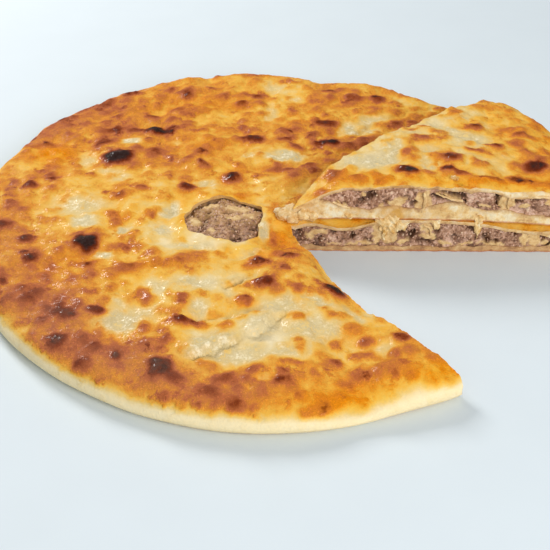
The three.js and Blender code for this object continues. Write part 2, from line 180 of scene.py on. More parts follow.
# Soft ovals: place, half length, half width, strength, and a turn in degrees if there is one
# Scorched spots of the pie's top
PIE_MARKS = (
    (-87, 44, 9, 7.5, 1.05, -14), (-97, 64, 5, 3.2, 0.35, 10), (-131, 65, 3, 3, 0.28),
    (-142, 21, 3, 5, 0.3), (-133, 17, 5, 4, 0.55), (-120, 26, 5, 2, 0.25, 20), (-111, 45, 3, 3, 0.2),
    (-133, -6, 4, 3, 0.2), (-117, -8, 4, 4, 0.15), (-117, -17, 6, 3, 0.25, 10), (-141, -20, 5, 4, 0.42),
    (-126, -34, 4.5, 4, 0.5), (-82, 5, 5, 3.5, 0.45, -20), (-89, 8, 3, 2, 0.2),
    (-82, -17, 3.6, 8, 0.5, 25), (-70, 12, 4.5, 3, 0.4, -20), (-63, -14, 4, 3.4, 0.5, -40),
    (-70, -30, 3, 2, 0.15), (-65, 77, 9, 4.2, 0.85, -10), (-79, 79, 6, 2.6, 0.4),
    (-72, 96, 4.5, 3, 0.32, -10), (-91, 81, 5, 3, 0.3, 20), (-45, 76, 6, 2.2, 0.28),
    (-36, 83, 6, 2.2, 0.25, 10), (-87, 127, 6, 3, 0.32, 30), (-53, 125, 6, 3, 0.32, -35),
    (-62, 131, 5, 3, 0.22), (-54, 103, 3, 4, 0.25), (-42, 102, 8, 5, 0.16), (-64, 53, 6, 4, 0.2),
    (-55, 46, 4, 3, 0.12), (-44, 44, 4.5, 3.2, 0.3), (-36, 52, 5, 6, 0.34), (-36, 35, 2.6, 6.5, 0.42, 30),
    (-35, 67, 4, 4, 0.18), (-20, 22, 6.5, 5, 0.42, -10), (-45, 14, 5.5, 4.2, 0.55, -35),
    (-9, 66, 7.5, 4.6, 0.68, -10), (-10, 152, 5, 3, 0.35), (-9, 125, 6, 2.6, 0.36), (-2, 126, 3, 2, 0.2),
    (15, 141, 4.5, 2.5, 0.3), (15, 103, 4, 3, 0.25), (29, 115, 3.4, 3.2, 0.22), (38, 129, 4, 2, 0.18),
    (53, 120, 5.5, 4.6, 0.46, -20), (69, 119, 5.5, 4.4, 0.46, -10), (64, 101, 4.5, 2.2, 0.22),
    (86, 126, 6, 3, 0.25, -30), (36, 85, 7.5, 4.6, 0.56, -8), (35, 60, 7.5, 3.2, 0.62),
    (26, 67, 3.2, 6, 0.25), (10, 75, 4.5, 4.2, 0.3), (10, 66, 5, 2.4, 0.4), (16, 58, 2.4, 6, 0.34, 35),
    (7, 31, 8, 2.4, 0.42), (15, 23, 3.4, 2.6, 0.35), (25, 32, 7, 6, 0.16), (-16, 81, 3.4, 3, 0.25),
    (-17, 110, 3.4, 3, 0.18), (75, 84, 7, 3, 0.22, 20), (54, 60, 9, 4, 0.16, 25),
    (62, 66, 6, 3, 0.12, 30), (46, 42, 8, 5, 0.12, 20), (3, -10, 3, 4, 0.3), (8, -12, 2.6, 6, 0.42, 25),
    (3, -27, 1.8, 6, 0.4, 15), (10, -41, 4.5, 3, 0.36), (11, -53, 4.5, 3.2, 0.5, -15),
    (-41, -55, 9, 5, 0.3, 10), (-5, -59, 8, 4, 0.48, 10), (9, -65, 3, 2, 0.5, -30),
    (-94, -42, 6, 6.5, 1.0, 30), (-126, -47, 2.4, 2.4, 0.45), (-123, -53, 3.2, 3.2, 0.5),
    (-120, -58, 3, 3, 0.25), (-109, -59, 3.4, 2.2, 0.3), (-136, -66, 5, 7, 0.18), (-116, -80, 6, 6, 0.2),
    (-128, -84, 4, 4, 0.2), (-98, -97, 7.5, 4.4, 0.55, -30), (-92, -92, 3, 4, 0.3),
    (-83, -96, 5.5, 3.4, 0.6, -10), (-94, -58, 4.5, 2.5, 0.3), (-89, -67, 3, 3, 0.22),
    (-72, -63, 5.5, 5, 0.38), (-78, -64, 4, 3, 0.22), (-88, -82, 4.5, 2, 0.25),
    (-73, -42, 6, 2.4, 0.34, -15), (-61, -84, 4.2, 6, 0.55, 15), (-48, -85, 2.6, 2.6, 0.28),
    (-41, -91, 3.2, 4, 0.4), (-32, -85, 6, 3, 0.3, -10), (-26, -87, 5, 3, 0.2), (-49, -96, 5, 4, 0.18),
    (-58, -107, 2.6, 4, 0.28), (-38, -106, 11, 3.4, 0.55, -6), (-19, -108, 4.6, 4.4, 0.34),
    (-53, -121, 9.5, 4.6, 0.28, 12), (-70, -128, 2.4, 2.4, 0.42), (-100, -114.5, 6, 4, 0.42, -15),
    (-85, -132, 5, 5, 0.36), (-48, -137, 6, 5.4, 0.56), (-42, -143, 5, 4, 0.36, -20),
    (-29, -150, 4, 3.6, 0.18), (-14, -157, 5, 4.6, 0.2), (-6, -138, 4, 2.4, 0.22), (8, -139, 3, 2, 0.25),
    (12, -133, 6, 2, 0.28, 5), (23, -160, 7, 4, 0.32, 20), (-21, -143, 5, 2.6, 0.26),
    (-26, -135, 5, 3, 0.2), (-1, -77, 5.4, 5, 0.66), (5, -82, 4, 4, 0.32), (-11, -89, 4, 4.2, 0.5),
    (34, -74, 6.6, 4.4, 1.0, -12), (27, -72, 4, 3, 0.3), (15, -79, 4.6, 3, 0.28),
    (16, -101, 3.2, 3.5, 0.4), (16, -120, 3.4, 4, 0.26), (33, -116, 3.2, 3, 0.42),
    (32, -129, 3.4, 3, 0.38, 30), (33, -96, 2.6, 2.5, 0.24), (37, -94, 2.6, 2.5, 0.24),
    (43, -104, 6.4, 4, 0.24), (44, -123, 5.4, 3.4, 0.42, -15), (48, -113, 4.4, 2.5, 0.36),
    (65, -113, 4, 2.8, 0.6), (60, -125, 3.4, 4, 0.26), (44, -136, 5.4, 4, 0.3), (57, -134, 12, 5, 0.18),
    (8, -146, 7, 3, 0.18),
)
# Broad changes of browning
PIE_AREAS = (
    (-132, -45, 42, 62, 0.07, 10), (-75, -122, 60, 22, 0.2, -35), (-10, -152, 62, 14, 0.06, 4),
    (40, -140, 34, 12, 0.06, 10), (-120, 80, 40, 26, 0.12, 35), (-45, 128, 60, 16, 0.04, 12),
    (60, 122, 45, 20, -0.02, -30), (-62, 58, 34, 22, 0.06), (-22, -21, 40, 36, -0.24),
    (-95, -8, 40, 24, -0.2), (-40, -85, 36, 18, -0.12), (-10, -128, 26, 10, -0.12, 5),
    (-60, -38, 34, 14, -0.18), (5, 128, 20, 26, -0.12), (4, -108, 56, 30, -0.26, 5),
    (75, -132, 26, 16, -0.06), (38, 72, 34, 26, 0.05), (-18, 85, 30, 20, -0.05),
    (40, 30, 24, 26, -0.04, 40), (92, 112, 30, 14, -0.04, -40), (-45, -78, 34, 16, -0.16),
    (-68, -102, 16, 12, -0.16), (5, 48, 26, 12, -0.14), (-92, 38, 24, 18, -0.15),
    # (42, -13) and (142, -13) are paler strips where the top shows under the slice's edges, a painted
    # lightening against the slice's shadow
    (56, 84, 18, 14, -0.16, 20), (42, -13, 26, 9, -0.22), (142, -13, 30, 9, -0.22),
    (-128, 96, 36, 14, 0.22, 42), (64, -152, 40, 6, -0.3, 16),
)
# Pale, thin-baked patches where the filling shows through
PIE_PALE = (
    (-103, 46, 8, 9, 0.6), (-81, 65, 8, 5, 0.85, -10), (-90, 33, 11, 5, 0.5, -15), (-84, 25, 9, 6, 0.45),
    (-102, -4, 18, 9, 0.62), (-98, -20, 7, 6, 0.95), (-77, -28, 4.5, 6, 0.9), (-85, -50, 7, 4, 0.85),
    (-55, 62, 5, 4, 0.4), (10, 46, 11, 6, 1.0), (-10, 47, 7, 4, 0.6), (2, 100, 4, 18, 0.45),
    (3, 136, 7, 7, 0.55), (17, 119, 6, 4, 0.45), (48, 79, 7, 9, 0.8), (65, 92, 12, 6, 0.65, 20),
    (60, 78, 8, 6, 0.6), (-35, 17, 11, 4.5, 0.7), (-52, -8, 4, 8, 1.1, -20), (-55, -27, 4.5, 7, 0.9, 30),
    (-40, -43, 14, 4.5, 0.7, -8), (-70, -102, 14, 11, 0.85), (-35, -75, 12, 6, 0.8),
    (-33, -94, 5, 6, 0.7), (-20, -101, 11, 2.6, 0.55, 6), (-25, -122, 15, 9, 0.8, 25),
    (8, -92, 16, 8, 0.75, 10), (22, -108, 18, 9, 0.75, 20), (0, -110, 14, 9, 0.7, 30),
    (10, -124, 16, 6, 0.7, 10), (26, -86, 10, 5, 0.75, -20), (0, -143, 5, 3, 0.5), (55, -121, 6, 7, 0.5),
    (44, -93, 3, 8, 0.7, 30), (-13, -72, 6, 5, 0.5), (-60, -95, 6, 5, 0.5), (-6, -48, 10, 3.5, 0.4, 15),
    (22, 10, 6, 8, 0.4), (40, -112, 6, 5, 0.4), (-118, 3, 8, 5, 0.3), (-1, -25, 3.6, 9, 0.8, 8),
    (2, -6, 8, 3, 0.5, -20), (-55, -78, 7, 6, 0.6), (-17, -86, 4, 8, 0.55, 20),
    (-12, -127, 20, 7, 0.8, 8), (-56, -97, 8, 5, 0.6), (-72, -88, 6, 4, 0.5),
)
# Oily, deep yellow to orange patches
PIE_AMBER = (
    (-125, 52, 12, 10, 1.25), (-45, -5, 10, 10, 0.7), (-10, -46, 14, 6, 0.9, 10), (9, -22, 6, 11, 0.9),
    (18, -96, 6, 6, 0.6), (-24, -108, 6, 5, 0.5), (-65, -72, 12, 7, 0.5), (-30, 4, 26, 6, 0.6, 5),
    (80, -137, 22, 10, 1, 20), (40, -152, 34, 10, 0.95, 12), (-40, 110, 30, 12, 0.35),
    (-60, -60, 20, 8, 0.3), (-75, -10, 14, 18, 0.4), (-35, 60, 16, 14, 0.35), (-15, -95, 10, 5, 0.4),
    (50, -105, 10, 6, 0.35), (-20, 30, 16, 8, 0.4), (-100, -55, 16, 10, 0.3), (20, 92, 14, 8, 0.3),
    # (42, -14) and (142, -14) yellow the same strips under the slice's edges, partly as a painted lightening
    # against its shadow
    (-20, -60, 18, 6, 0.4), (42, -14, 26, 8, 1.0), (142, -14, 30, 8, 1.0), (-46, -22, 6, 14, 0.9),
    (-24, 3, 20, 5, 0.8), (-10, -43, 15, 3.4, 0.9, 10),
)
# Dull brown patches with a faint lilac bloom, partly a painted sheen
PIE_BLOOM_AND_SHEEN = (
    (-137, -45, 22, 52, 0.6, 8), (-104, -100, 32, 20, 1.1, -45), (-62, -132, 40, 13, 1.0, -22),
    (-128, -84, 5, 5, 0.9), (-115, -97, 5, 3.4, 0.9), (-116, -80, 7, 7, 0.5), (-136, -66, 5, 7, 0.6),
    (-85, -128, 5, 3, 0.8), (-142, 20, 8, 18, 0.5), (-15, -150, 20, 7, 0.45), (-120, 85, 26, 8, 0.3, 40),
    (-108, -110, 6, 4, 0.7),
)
# Creases of the thin top: start, end, half width, depth
PIE_CREASES = (
    (-20, -78, -11, -72, 1.6, 1.2), (-1, 84, 2, 138, 3.0, 0.9), (23, -114, 28, -101, 2.2, 1.0),
    (-90, -80, -68, -79, 1.6, -0.7), (52, 70, 66, 88, 2.6, 1.5), (-14, -47, 6, -45, 1.4, -0.8),
    (-12, -51, 4, -52, 1.4, 0.7), (-5, -125, 6, -124, 2.0, 0.8), (-12, -118, -8, -132, 2.0, 0.6),
)
# Folds of the thin top, higher on the left of the way from start to end: start, end, rise, reach
PIE_FOLDS = (
    (-34, -128, -17, -117.5, 3.4, 8.0), (-6, -114.5, 7, -99, 3.6, 8.0), (-30, -102, -6, -98, -2.4, 7.0),
    (-22, -78, -10, -70, 1.5, 6.0), (-58, -60, -24, -66, 1.2, 6.0), (-28, -44, 8, -50, 1.0, 5.0),
)
# Scorched spots of the slice's top
SLICE_MARKS = (
    (35, -7, 5.5, 4, 0.5, -50), (75, -5, 7.5, 4, 1.0, -8), (86, -6, 5, 2.6, 0.4),
    (76, 13.5, 3.4, 4, 0.42), (87, 31, 8, 4, 0.45, -8), (97, 38.5, 5.4, 4, 0.45, -20),
    (101, 34, 4, 2.6, 0.25, -30), (117, 45, 6, 5, 0.6, -25), (100, 7, 6, 5, 0.62, 10),
    (115, 18, 6, 2.6, 0.5, -5), (125, 24, 5, 2.4, 0.45), (115, 3, 5, 4.4, 0.42, -10),
    (145, 6, 7.5, 5.4, 0.72, 20), (135, -10, 8, 4, 0.7, -8), (97, -2, 5, 2, 0.7, -25),
    (103, -5.4, 7, 1.9, 0.6, -18), (120, -11, 9, 1.9, 0.6, -14), (140, 30, 6, 4, 0.36, -10),
    (137, 44, 5, 2.6, 0.34), (145, 37, 9, 3, 0.34, -12), (130, 72, 5, 2.4, 0.22, -30),
    (89, 46, 5, 2, 0.34), (148, -14, 6, 2.6, 0.3), (164, 20, 8, 5, 0.2, 30), (158, 60, 8, 4, 0.26, -50),
    (172, 40, 7, 5, 0.3, -60), (48, -13, 5, 2.6, 0.2, -10), (28, -16, 4, 3, 0.2, -20),
    (62, -12, 6, 2.6, 0.14), (160, 2, 7, 4, 0.32), (150, 80, 6, 3, 0.2, -50), (132, 95, 7, 3, 0.2, -40),
    (108, 62, 6, 2, 0.26, 25), (83, 42, 4, 1.6, 0.3, 30),
)
SLICE_AREAS = (
    (100, -14, 80, 5, 0.08), (150, 55, 30, 60, 0.08, 30), (168, 10, 22, 40, 0.05, 10),
    (58, 8, 18, 14, -0.12, 30), (112, 34, 18, 14, -0.1), (92, 22, 16, 12, 0.02),
    (30, -14, 14, 8, 0.12, 30), (140, 20, 20, 24, 0.08),
)
SLICE_PALE = (
    (47, 5, 9, 6, 0.8, 25), (58, 4, 12, 8, 0.9, 20), (67, 9, 8, 8, 0.85), (70, 14, 7, 9, 0.8),
    (70, 22, 6, 5, 0.7, 40), (64, 18, 6, 4, 0.55, 40), (83, 40, 6, 4, 0.6, 40), (94, 48, 10, 5, 0.7, 30),
    (103, 42, 7, 5, 0.75), (108, 33, 7, 7, 0.65), (117, 31, 9, 5, 0.6, -10), (113, 22, 9, 3, 0.55),
    (90, 18, 9, 5, 0.55), (86, 6, 6, 5, 0.5), (89, 0, 9, 3, 0.75), (106, 13, 6, 4, 0.4),
    (130, 13, 8, 5, 0.35), (121, 9, 6, 4, 0.3), (112, 60, 12, 5, 0.5, 30), (128, 50, 8, 5, 0.4),
    (99, -11, 2, 1.4, 0.5),
)
SLICE_AMBER = (
    (100, -14, 70, 5, 0.85), (150, -10, 24, 8, 0.7), (130, 55, 20, 10, 0.4, -30),
    (40, -10, 12, 6, 0.4, 30), (160, 40, 14, 30, 0.5, 20), (85, 5, 14, 5, 0.3), (110, 50, 10, 8, 0.3),
)
SLICE_BLOOM_AND_SHEEN = ((172, 30, 12, 34, 0.25, 10),)
SLICE_CREASES = ((52, 14, 70, 24, 2.4, 0.9), (86, 34, 98, 30, 2, 0.5), (104, 22, 124, 18, 2.2, 0.6))
SLICE_FOLDS = ((58, 0, 74, -4, 1.0, 5.0),)
FOLD_LIP, FOLD_END, FOLD_TROUGH, FOLD_WARP = 4.0, 4.0, 0.5, 1.4
# Where butter has made the top glossy: place and reach
PIE_OIL = (-12, -40, 105)
SLICE_OIL = (90, 10, 50)

# How far marks and pale patches are bent out of shape, and the highest of the small blisters
MARK_WARP, PALE_WARP = 0.7, 1.5
HIGHEST_BLISTER = 1.3
# Random shifts: amount and size of the broad and of the fine part
DRIFTS = ((1.7, 7), (0.8, 2.8))
# How flat the middles of the soft ovals are
BLISTER_POWER, CORE_POWER, SOFT_POWER, PALE_POWER, THIN_POWER = 3.0, 4.6, 2.0, 2.6, 2.4
# The thin dough over the filling, and the wrinkles
THIN_SUNK, THIN_LUMPS, THIN_LUMP_SIZE = 1.2, 1.1, 9
WRINKLE_SIZE, BROAD_SIZE, BROAD_SHARE = 12, 30, 1.5
# Narrow ridges: height, slope, size
RIDGES = ((0.5, 1.6, 11), (0.25, 0.8, 5))
RIDGE_BAKE, RIDGE_LEAST = 0.07, -0.6
# The many small blisters between the marks
SMALL_BLISTER_SPACING, SMALL_BLISTER_RISE, SMALL_BLISTER_BAKE, SMALL_BLISTER_MEAN = 10.5, 0.9, 0.2, 0.2
BLISTER_LEAST, BLISTER_SPAN, BLISTER_FLAT, BLISTER_CHOSEN, BLISTER_BLUR = 0.25, 0.35, 1.15, 0.25, 0.2
# Scorched cores and their warm halos
CORE_SCORCH, HALO_LEAST, HALO_SCORCH, HALO_WIDTH = 0.66, 0.07, 0.22, 2.6
# Uneven browning: strength, size, offset from the seed
UNEVEN_BAKE = ((0.13, 26, 60), (0.06, 9, 80))
# Browning before any of the marks
PIE_BAKE = 0.44
SLICE_BAKE = 0.25
PALE_BAKE = 0.1
SIDE_BAKE = 0.04
BASE_BAKE = 0.6
# Shares of the height up to which the rim stays pale, and over which it then browns
RIM_PALE_RISE, RIM_PALE_BLUR = 0.97, 0.34
RIM_RAGGED, RIM_RAGGED_SIZE, RIM_RAGGED_STRETCH = 0.05, 14, 3
# The underside, and the browning that counts as most
UNDER_RISE, UNDER_UNEVEN, UNDER_SIZE = 0.06, 0.2, 18
BAKE_RANGE = 1.25
# Stains of cut dough: patches, how the listed ones are bent, under the top crust, and at the vent
STAIN, STAIN_SIZE, STAIN_STRETCH, STAIN_LEAST = 0.5, 11, 1.6, 0.25
STAIN_BEND, STAIN_BEND_SIZE = 5, 6
TOP_STAIN, TOP_STAIN_START, TOP_STAIN_BLUR = 0.45, 0.84, 0.12
VENT_STAIN, VENT_STAIN_REACH = 0.75, 3
# Torn grain of cut dough
CUT_GRAIN, CUT_STRETCH, CUT_BROAD, CUT_BROAD_SHARE = 5, 1.7, 17, 0.6
# Juice in the cut dough: above the lower dough, under the top, in the vent, where it is partly a painted
# shade on the torn wall, and in the slice
JUICE_REACH, TOP_JUICE, TOP_JUICE_REACH = 3, 0.7, 0.8
VENT_JUICE_AND_SHADE, VENT_JUICE_AND_SHADE_REACH, VENT_JUICE_AND_SHADE_TOP = 0.3, 3, 16
SLICE_JUICE, SLICE_JUICE_REACH = 0.8, 1.1

# Hollows between the lumps of mince at the cut faces, darkened with painted shade: place along the cut,
# height, half sizes, depth
LOWER_PITS = (
    (16.5, 12, 2, 3, 2.6), (36, 11, 2, 1.6, 2.6), (46, 9, 1.6, 2.2, 3), (28, 7, 1.6, 1.4, 2),
    (72, 12, 3, 2.2, 4.5), (78, 10, 2.4, 2.6, 4.5), (92, 13, 2, 1.6, 3), (101, 8, 1.6, 1.4, 2.2),
    (118, 8, 2, 2.6, 3), (123, 6, 2.4, 1.5, 3), (134, 12, 1.6, 2, 3.5), (149, 11, 2, 3.4, 5),
    (54, 6, 2, 1.2, 2), (84, 6, 2.6, 1.4, 3), (110, 14, 2.4, 1.4, 2.5),
)
UPPER_PITS = (
    (54, 35, 3.2, 2.4, 5), (50, 32, 2, 1.6, 3), (40, 29.5, 3, 1.2, 2.5), (73, 33, 2.2, 1.6, 3),
    (92, 35, 4, 1.5, 4.5), (101, 34, 4, 2.2, 5), (104, 31, 2, 1.6, 3.5), (123, 33, 1.6, 3.4, 4.5),
    (133, 32, 2, 1.5, 3), (62, 31, 1.6, 1.4, 2), (143, 33, 3, 1.4, 3.5), (154, 31, 2, 2, 3.5),
    (113, 29, 2.4, 1.2, 2), (78, 30, 1.4, 2, 2.5),
)
# How far a hollow spreads past its half sizes, how flat its middle is, and the depth where its painted shade
# is full
PIT_SPREAD, PIT_POWER, PIT_SHADE_DEPTH = 1.2, 3, 3
# The lumps of mince and the valleys between them
MINCE_BEND, MINCE_BEND_SIZE, LUMP_FLAT, VALLEY_START, VALLEY_SPAN = 1.1, 4, 1.2, 0.42, 0.4
VALLEY_DEPTH, LUMP_MEAN, CRUMB_DEPTH = 1.4, 0.4, 0.5
# How much painted shade the valleys and the cracks between grains get
VALLEY_SHADE, VALLEY_CHOSEN, CRACK_SHADE, CRACK_START, CRACK_SPAN = 0.45, 0.35, 0.3, 0.6, 0.3
# Shares of the lumps, grains and crumbs in the tone
TONE_SHARES = (0.3, 0.4, 0.3)
# How hollows and onion are bent out of shape: amount, size, offset from the seed
FACE_BENDS = ((1.3, 3.4, 7), (0.5, 1.4, 5))
# Edges and lumps of the onion in the mince
ONION_POWER, ONION_EDGE, ONION_BLUR = 4.0, 0.25, 0.35
ONION_DEPTH, ONION_LUMPS, ONION_LUMP_SIZE = 0.5, 0.6, 6
# Share of the depth left at the edges of the pie's and the slice's mince, and how far it takes to grow
WALL_LEAST, WALL_REACH, LAYER_EDGE, LAYER_EDGE_ROWS = 0.35, 3, 0.3, 4
# Most of the slice's width that a hollow may take
DEEPEST_SHARE = 0.4
# Distance from the vent and the cuts where the filling starts to sink, and how far it takes
HIDDEN_START, HIDDEN_AT_VENT, HIDDEN_AT_CUT = 4, 6, 8
# The filling in the vent, and its fat
VENT_SPARE, VENT_BLUR, VENT_LUMPS, VENT_SHOWN, VENT_PAINT = 1.5, 3, 1.2, 4, 1.35
FAT_FRONT, FAT_BACK, FAT_SPAN, FAT_START = 0.22, 0.26, 16, 0.3
# How much darker the pie's own mince is than the slice's
PIE_MINCE_DARKER = 0.1
# Pieces of onion in the faces of the mince, soft ovals too
LOWER_ONION = (
    (59.5, 11, 2.4, 7, 1), (66, 10.5, 4.6, 6, 1, 12), (73, 16, 3.5, 1.8, 1, -15),
    (86, 15, 4.4, 3, 1, -40), (87, 9.8, 5, 1.6, 0.8, -8), (139.5, 8.5, 2.4, 5.4, 0.9),
    (145, 8.5, 3.2, 6, 1), (97, 5, 4, 1.2, 0.8, -10), (108, 5, 4, 1.1, 0.8, 10),
    (130, 13.4, 4.4, 1.4, 0.9, 5), (23, 9.6, 3.6, 2, 0.7, -50), (151, 5.4, 3, 1.5, 0.9, -10),
    (28, 12, 6, 2, 0.7, 10), (50, 4.6, 9, 1.1, 0.7, 4), (122, 4.6, 9, 1.1, 0.7, -3),
    (74, 6, 4, 1.6, 0.8, 20), (36, 4.8, 5, 1, 0.6),
)
UPPER_ONION = (
    (61, 26, 2.6, 4.6, 1, 5), (69, 32, 6, 1.8, 1, 12), (69, 29, 5, 2, 1, 25), (80.8, 31, 2, 7.4, 0.9),
    (85, 31, 2.8, 9, 1, 5), (96.5, 34.4, 8, 1.1, 0.9, -18), (126.5, 31, 3.2, 6.8, 1),
    (130.4, 32, 1.8, 4.6, 0.8), (145, 35, 7, 1.8, 1), (40, 29.8, 4, 1.1, 0.9, -25),
    (51, 36, 2.2, 1.5, 0.8, -30), (137, 28.6, 4, 1.4, 0.8, 10), (152, 30, 4, 2, 0.8, -20),
    (109, 37, 3, 1.1, 0.7), (116, 28.6, 4, 1.2, 0.7, -8),
)
VENT_ONION = (
    (-31, -4, 4.5, 2, 1, 10), (-16, -7, 7, 2.6, 1, -18), (-38.5, -20.5, 3.6, 4.4, 1, 20),
    (-18, -15, 5, 2.2, 0.8), (-29, -28, 3.4, 2.2, 0.6, -30), (-10, -14, 4, 2, 0.7, -10),
)
# Hollows of the mince in the vent, darkened with painted shade: place, half sizes, depth
VENT_PITS = (
    (-37, -3, 2.4, 2, 1.6), (-41, -9.5, 1.6, 2.6, 1.8), (-32, -9.5, 1.3, 1.3, 2.5),
    (-33, -15.5, 1.1, 1.7, 2.2), (-34.5, -25, 1.3, 3, 2.6), (-12, 0, 3, 1.5, 2.2), (-5, -5.5, 3, 2, 3.6),
    (-7, -23, 2.4, 2.6, 2.2), (-16, -32, 3, 1.8, 3), (-22, -9.5, 2, 1.3, 2.2), (-31, 1.5, 2.6, 1.5, 2.6),
)
# Thin fibres at the two cuts: half width, then places along the cut, out of it and up
FIBRES = (
    (0.7, (89, 0, 37), (96, 0.4, 34.4), (104, 0, 32)),
    (0.6, (35, 0, 31.6), (40, 0.4, 29.8), (44, 0, 28.2)),
    (0.8, (138, -0.2, 35), (145, 0.3, 35.5), (152, -0.1, 34)),
    (0.7, (83, 0, 38), (84, 0.5, 32), (82.5, 0.1, 25)),
    (0.6, (129, -0.1, 36), (128, 0.4, 31), (129, 0, 27)),
    (0.6, (84, -0.2, 17), (88, 0.3, 14), (89, -0.2, 10)),
)
# Torn dough that hangs over the cuts: middle along the cut, half width, top, drop, how far it stands out
DOUGH_TEARS = (
    (65, 6.4, 23.4, 16.0, 1.0), (72, 4.2, 19.6, 8.0, 0.8), (113.6, 2.0, 23.4, 17.0, 0.8),
    (20, 6.0, 26.0, 6.5, 0.7), (44, 2.6, 24.2, 4.2, 0.8), (91.5, 2.2, 20.2, 8.0, 0.7),
)
TEAR_DEPTH, TEAR_SUNK, TEAR_TUCK = 1.4, 0.4, 0.08
FRINGE_SIZE, FRINGE_LEAST, FRINGE_SPAN, FRINGE_ROUND = 3.4, 0.8, 0.4, 0.6
TEAR_RAGGED, TEAR_RAGGED_SIZE, TEAR_BEND, TEAR_BEND_SIZE = 0.8, 2.2, 1.2, 5
TEAR_RIDGE, TEAR_SLOPE, TEAR_SLANT, TEAR_RIDGE_SIZE = 0.4, 2.4, 0.4, 3.0
TEAR_LUMPS, TEAR_LUMP_SIZE = 0.5, 3.2
# Torn lumps of dough: place, half width, half height
TORN_CRUMBS = (
    (9.5, -17, 22.8, 4.4, 3.2), (14, -18.4, 22.4, 4.6, 3.6), (19, -18.4, 23.6, 4, 3.4),
    (24, -18.4, 22.6, 3.4, 2.6), (12.5, -15.6, 24.8, 3.6, 2.6), (6.5, -14, 22.6, 2.4, 1.4),
    (99, -12.6, 42.2, 1.4, 0.9), (101, -13, 42.2, 1, 0.7),
)
# The fibres: width of their ends, step along them, ripples and frays, and how they are swept
STRIP_END, STRIP_STEP, STRIP_RIPPLE, STRIP_FRAY = 0.75, 0.5, 2.2, 0.8
STRIP_FACING, STRIP_SIDES, RIPPLE_SCALE, FRAY_SCALE = (0.0, -0.8, 0.6), 14, 240.0, 620.0
# Lumps and grain of the torn dough's crumbs
CRUMB_LUMPS, CRUMB_GRAIN, CRUMB_SCALE, CRUMB_GRAIN_SCALE = 3.6, 1.6, 300.0, 800.0
# Loose grains: least and most, the rest of their looks, and where they lie
GRAIN_SIZES, GRAIN_TONES = ((0.4, 0.35, 0.3), (1.0, 0.9, 0.8)), (0.3, 0.85)
GRAIN_TURN, GRAIN_SCALE, GRAIN_ROUGH = (6.28, 6.28, 6.28), 900.0, 0.0006
GRAIN_SPACING, GRAIN_DENSITY, ONION_BARE = 1.1, 180000.0, 0.3
GRAIN_SIZE_SEED, GRAIN_TONE_SEED = 3, 5

# How finely the pieces are divided
TEAR_LONG, TEAR_TALL = 44, 44
CRUST_GRID, HOLLOW_GRID, VENT_GRID = 250, 72, 28
SHOULDER_STEPS, FOOT_STEPS = 9, 5
FLOOR_RINGS, HOLLOW_RINGS = 5, 40
SLICE_LONG, SLICE_WIDE, SLICE_TALL = 168, 100, 16
GAP_LONG, GAP_WIDE, GAP_TALL = 110, 6, 14
MINCE_LONG, MINCE_WIDE, MINCE_TALL = 250, 24, 30
SLICE_ROOM_LONG, SLICE_ROOM_WIDE, SLICE_ROOM_TALL = 110, 60, 4
FILLING_SEGMENTS, VENT_RINGS, OUTER_RINGS, VENT_RING_REACH = 200, 42, 46, 1.4
FLOOR_EDGE, FLOOR_MIDDLE = 0.98, 0.02
EDGE_STEPS, FRONT_CUT_PLACES = 40, 60
SHARP_ANGLE = math.radians(50)

# Colours of the ramps: position and name
CRUST_RAMP = (
    (0.0, "cream"), (0.13, "straw"), (0.25, "honey"), (0.38, "gold"), (0.55, "toffee"), (0.76, "chestnut"),
    (0.98, "char"),
)
THIN_RAMP = ((0.14, "straw"), (0.36, "veil"), (0.58, "thin_gold"), (0.8, "milk"))
CRUMB_RAMP = ((0.34, "soaked"), (0.47, "crumb"), (0.62, "milk"))
JUICE_RAMP = ((0.3, "meat_brown"), (0.58, "soaked"), (0.95, "crumb"))
MINCE_RAMP = (
    (0.0, "meat_dark_and_shade"), (0.3, "meat_brown"), (0.5, "meat"), (0.72, "meat_pink"), (0.95, "meat_pale"),
)
TORN_RAMP = ((0.3, "milk"), (0.44, "crumb"), (0.66, "stained"))
# Scales of the coarse and fine speckle of each material
CRUST_SPECKLE, MINCE_SPECKLE = (190.0, 850.0), (420.0, 1300.0)
ONION_SPECKLE, TORN_SPECKLE = (220.0, 1100.0), (200.0, 1000.0)
SPECKLE_KINDS = ("Coarse", "Fine", "Spots", "Beads", "Height")
SPOT_SCALE, BEAD_SCALE, BEND_SCALE, BEND_AMOUNT = 150.0, 720.0, 350.0, 0.008

# The camera that sees the pie as the picture does, and the stage
CAMERA_PLACE = (0.00434, -0.5544, 0.3781)
CAMERA_TARGET = (0.00434, -0.0415, 0.0)
CAMERA_LENS = 78.545
SENSOR = 36.0
FLOOR_SIZE, FLOOR_DROP = 8.0, 0.0002
SKY_COLOUR, SKY_STRENGTH = (0.93, 0.97, 1.0, 1.0), 0.34
# Soft lights: name, place, size, power, colour
LIGHTS = (
    ("key", (-0.75, 0.85, 0.8), 0.45, 13.6, (1.0, 0.98, 0.95)),
    ("fill", (0.6, -1.05, 0.7), 0.7, 12.9, (1.0, 0.99, 0.97)),
)


def linear(red, green, blue):
    """A colour as it looks on a screen, 0 to 255, as the linear colour that shaders use."""
    channels = []
    for value in (red, green, blue):
        share = value / 255
        channels.append(share / 12.92 if share <= 0.04045 else ((share + 0.055) / 1.055) ** 2.4)
    return tuple(channels)


def rgba(colour):
    """A linear colour with full alpha."""
    return (*colour, 1.0)


# Sizes and colours that a user would change


def length_property(name, description, default):
    """A size in metres."""
    return FloatProperty(
        name=name, description=description, default=default, min=0.0, unit="LENGTH", precision=5
    )


def colour_property(name, description, default):
    """A colour picked by its look on a screen."""
    return FloatVectorProperty(
        name=name, description=description, default=linear(*default), size=3, min=0.0, max=1.0,
        subtype="COLOR"
    )


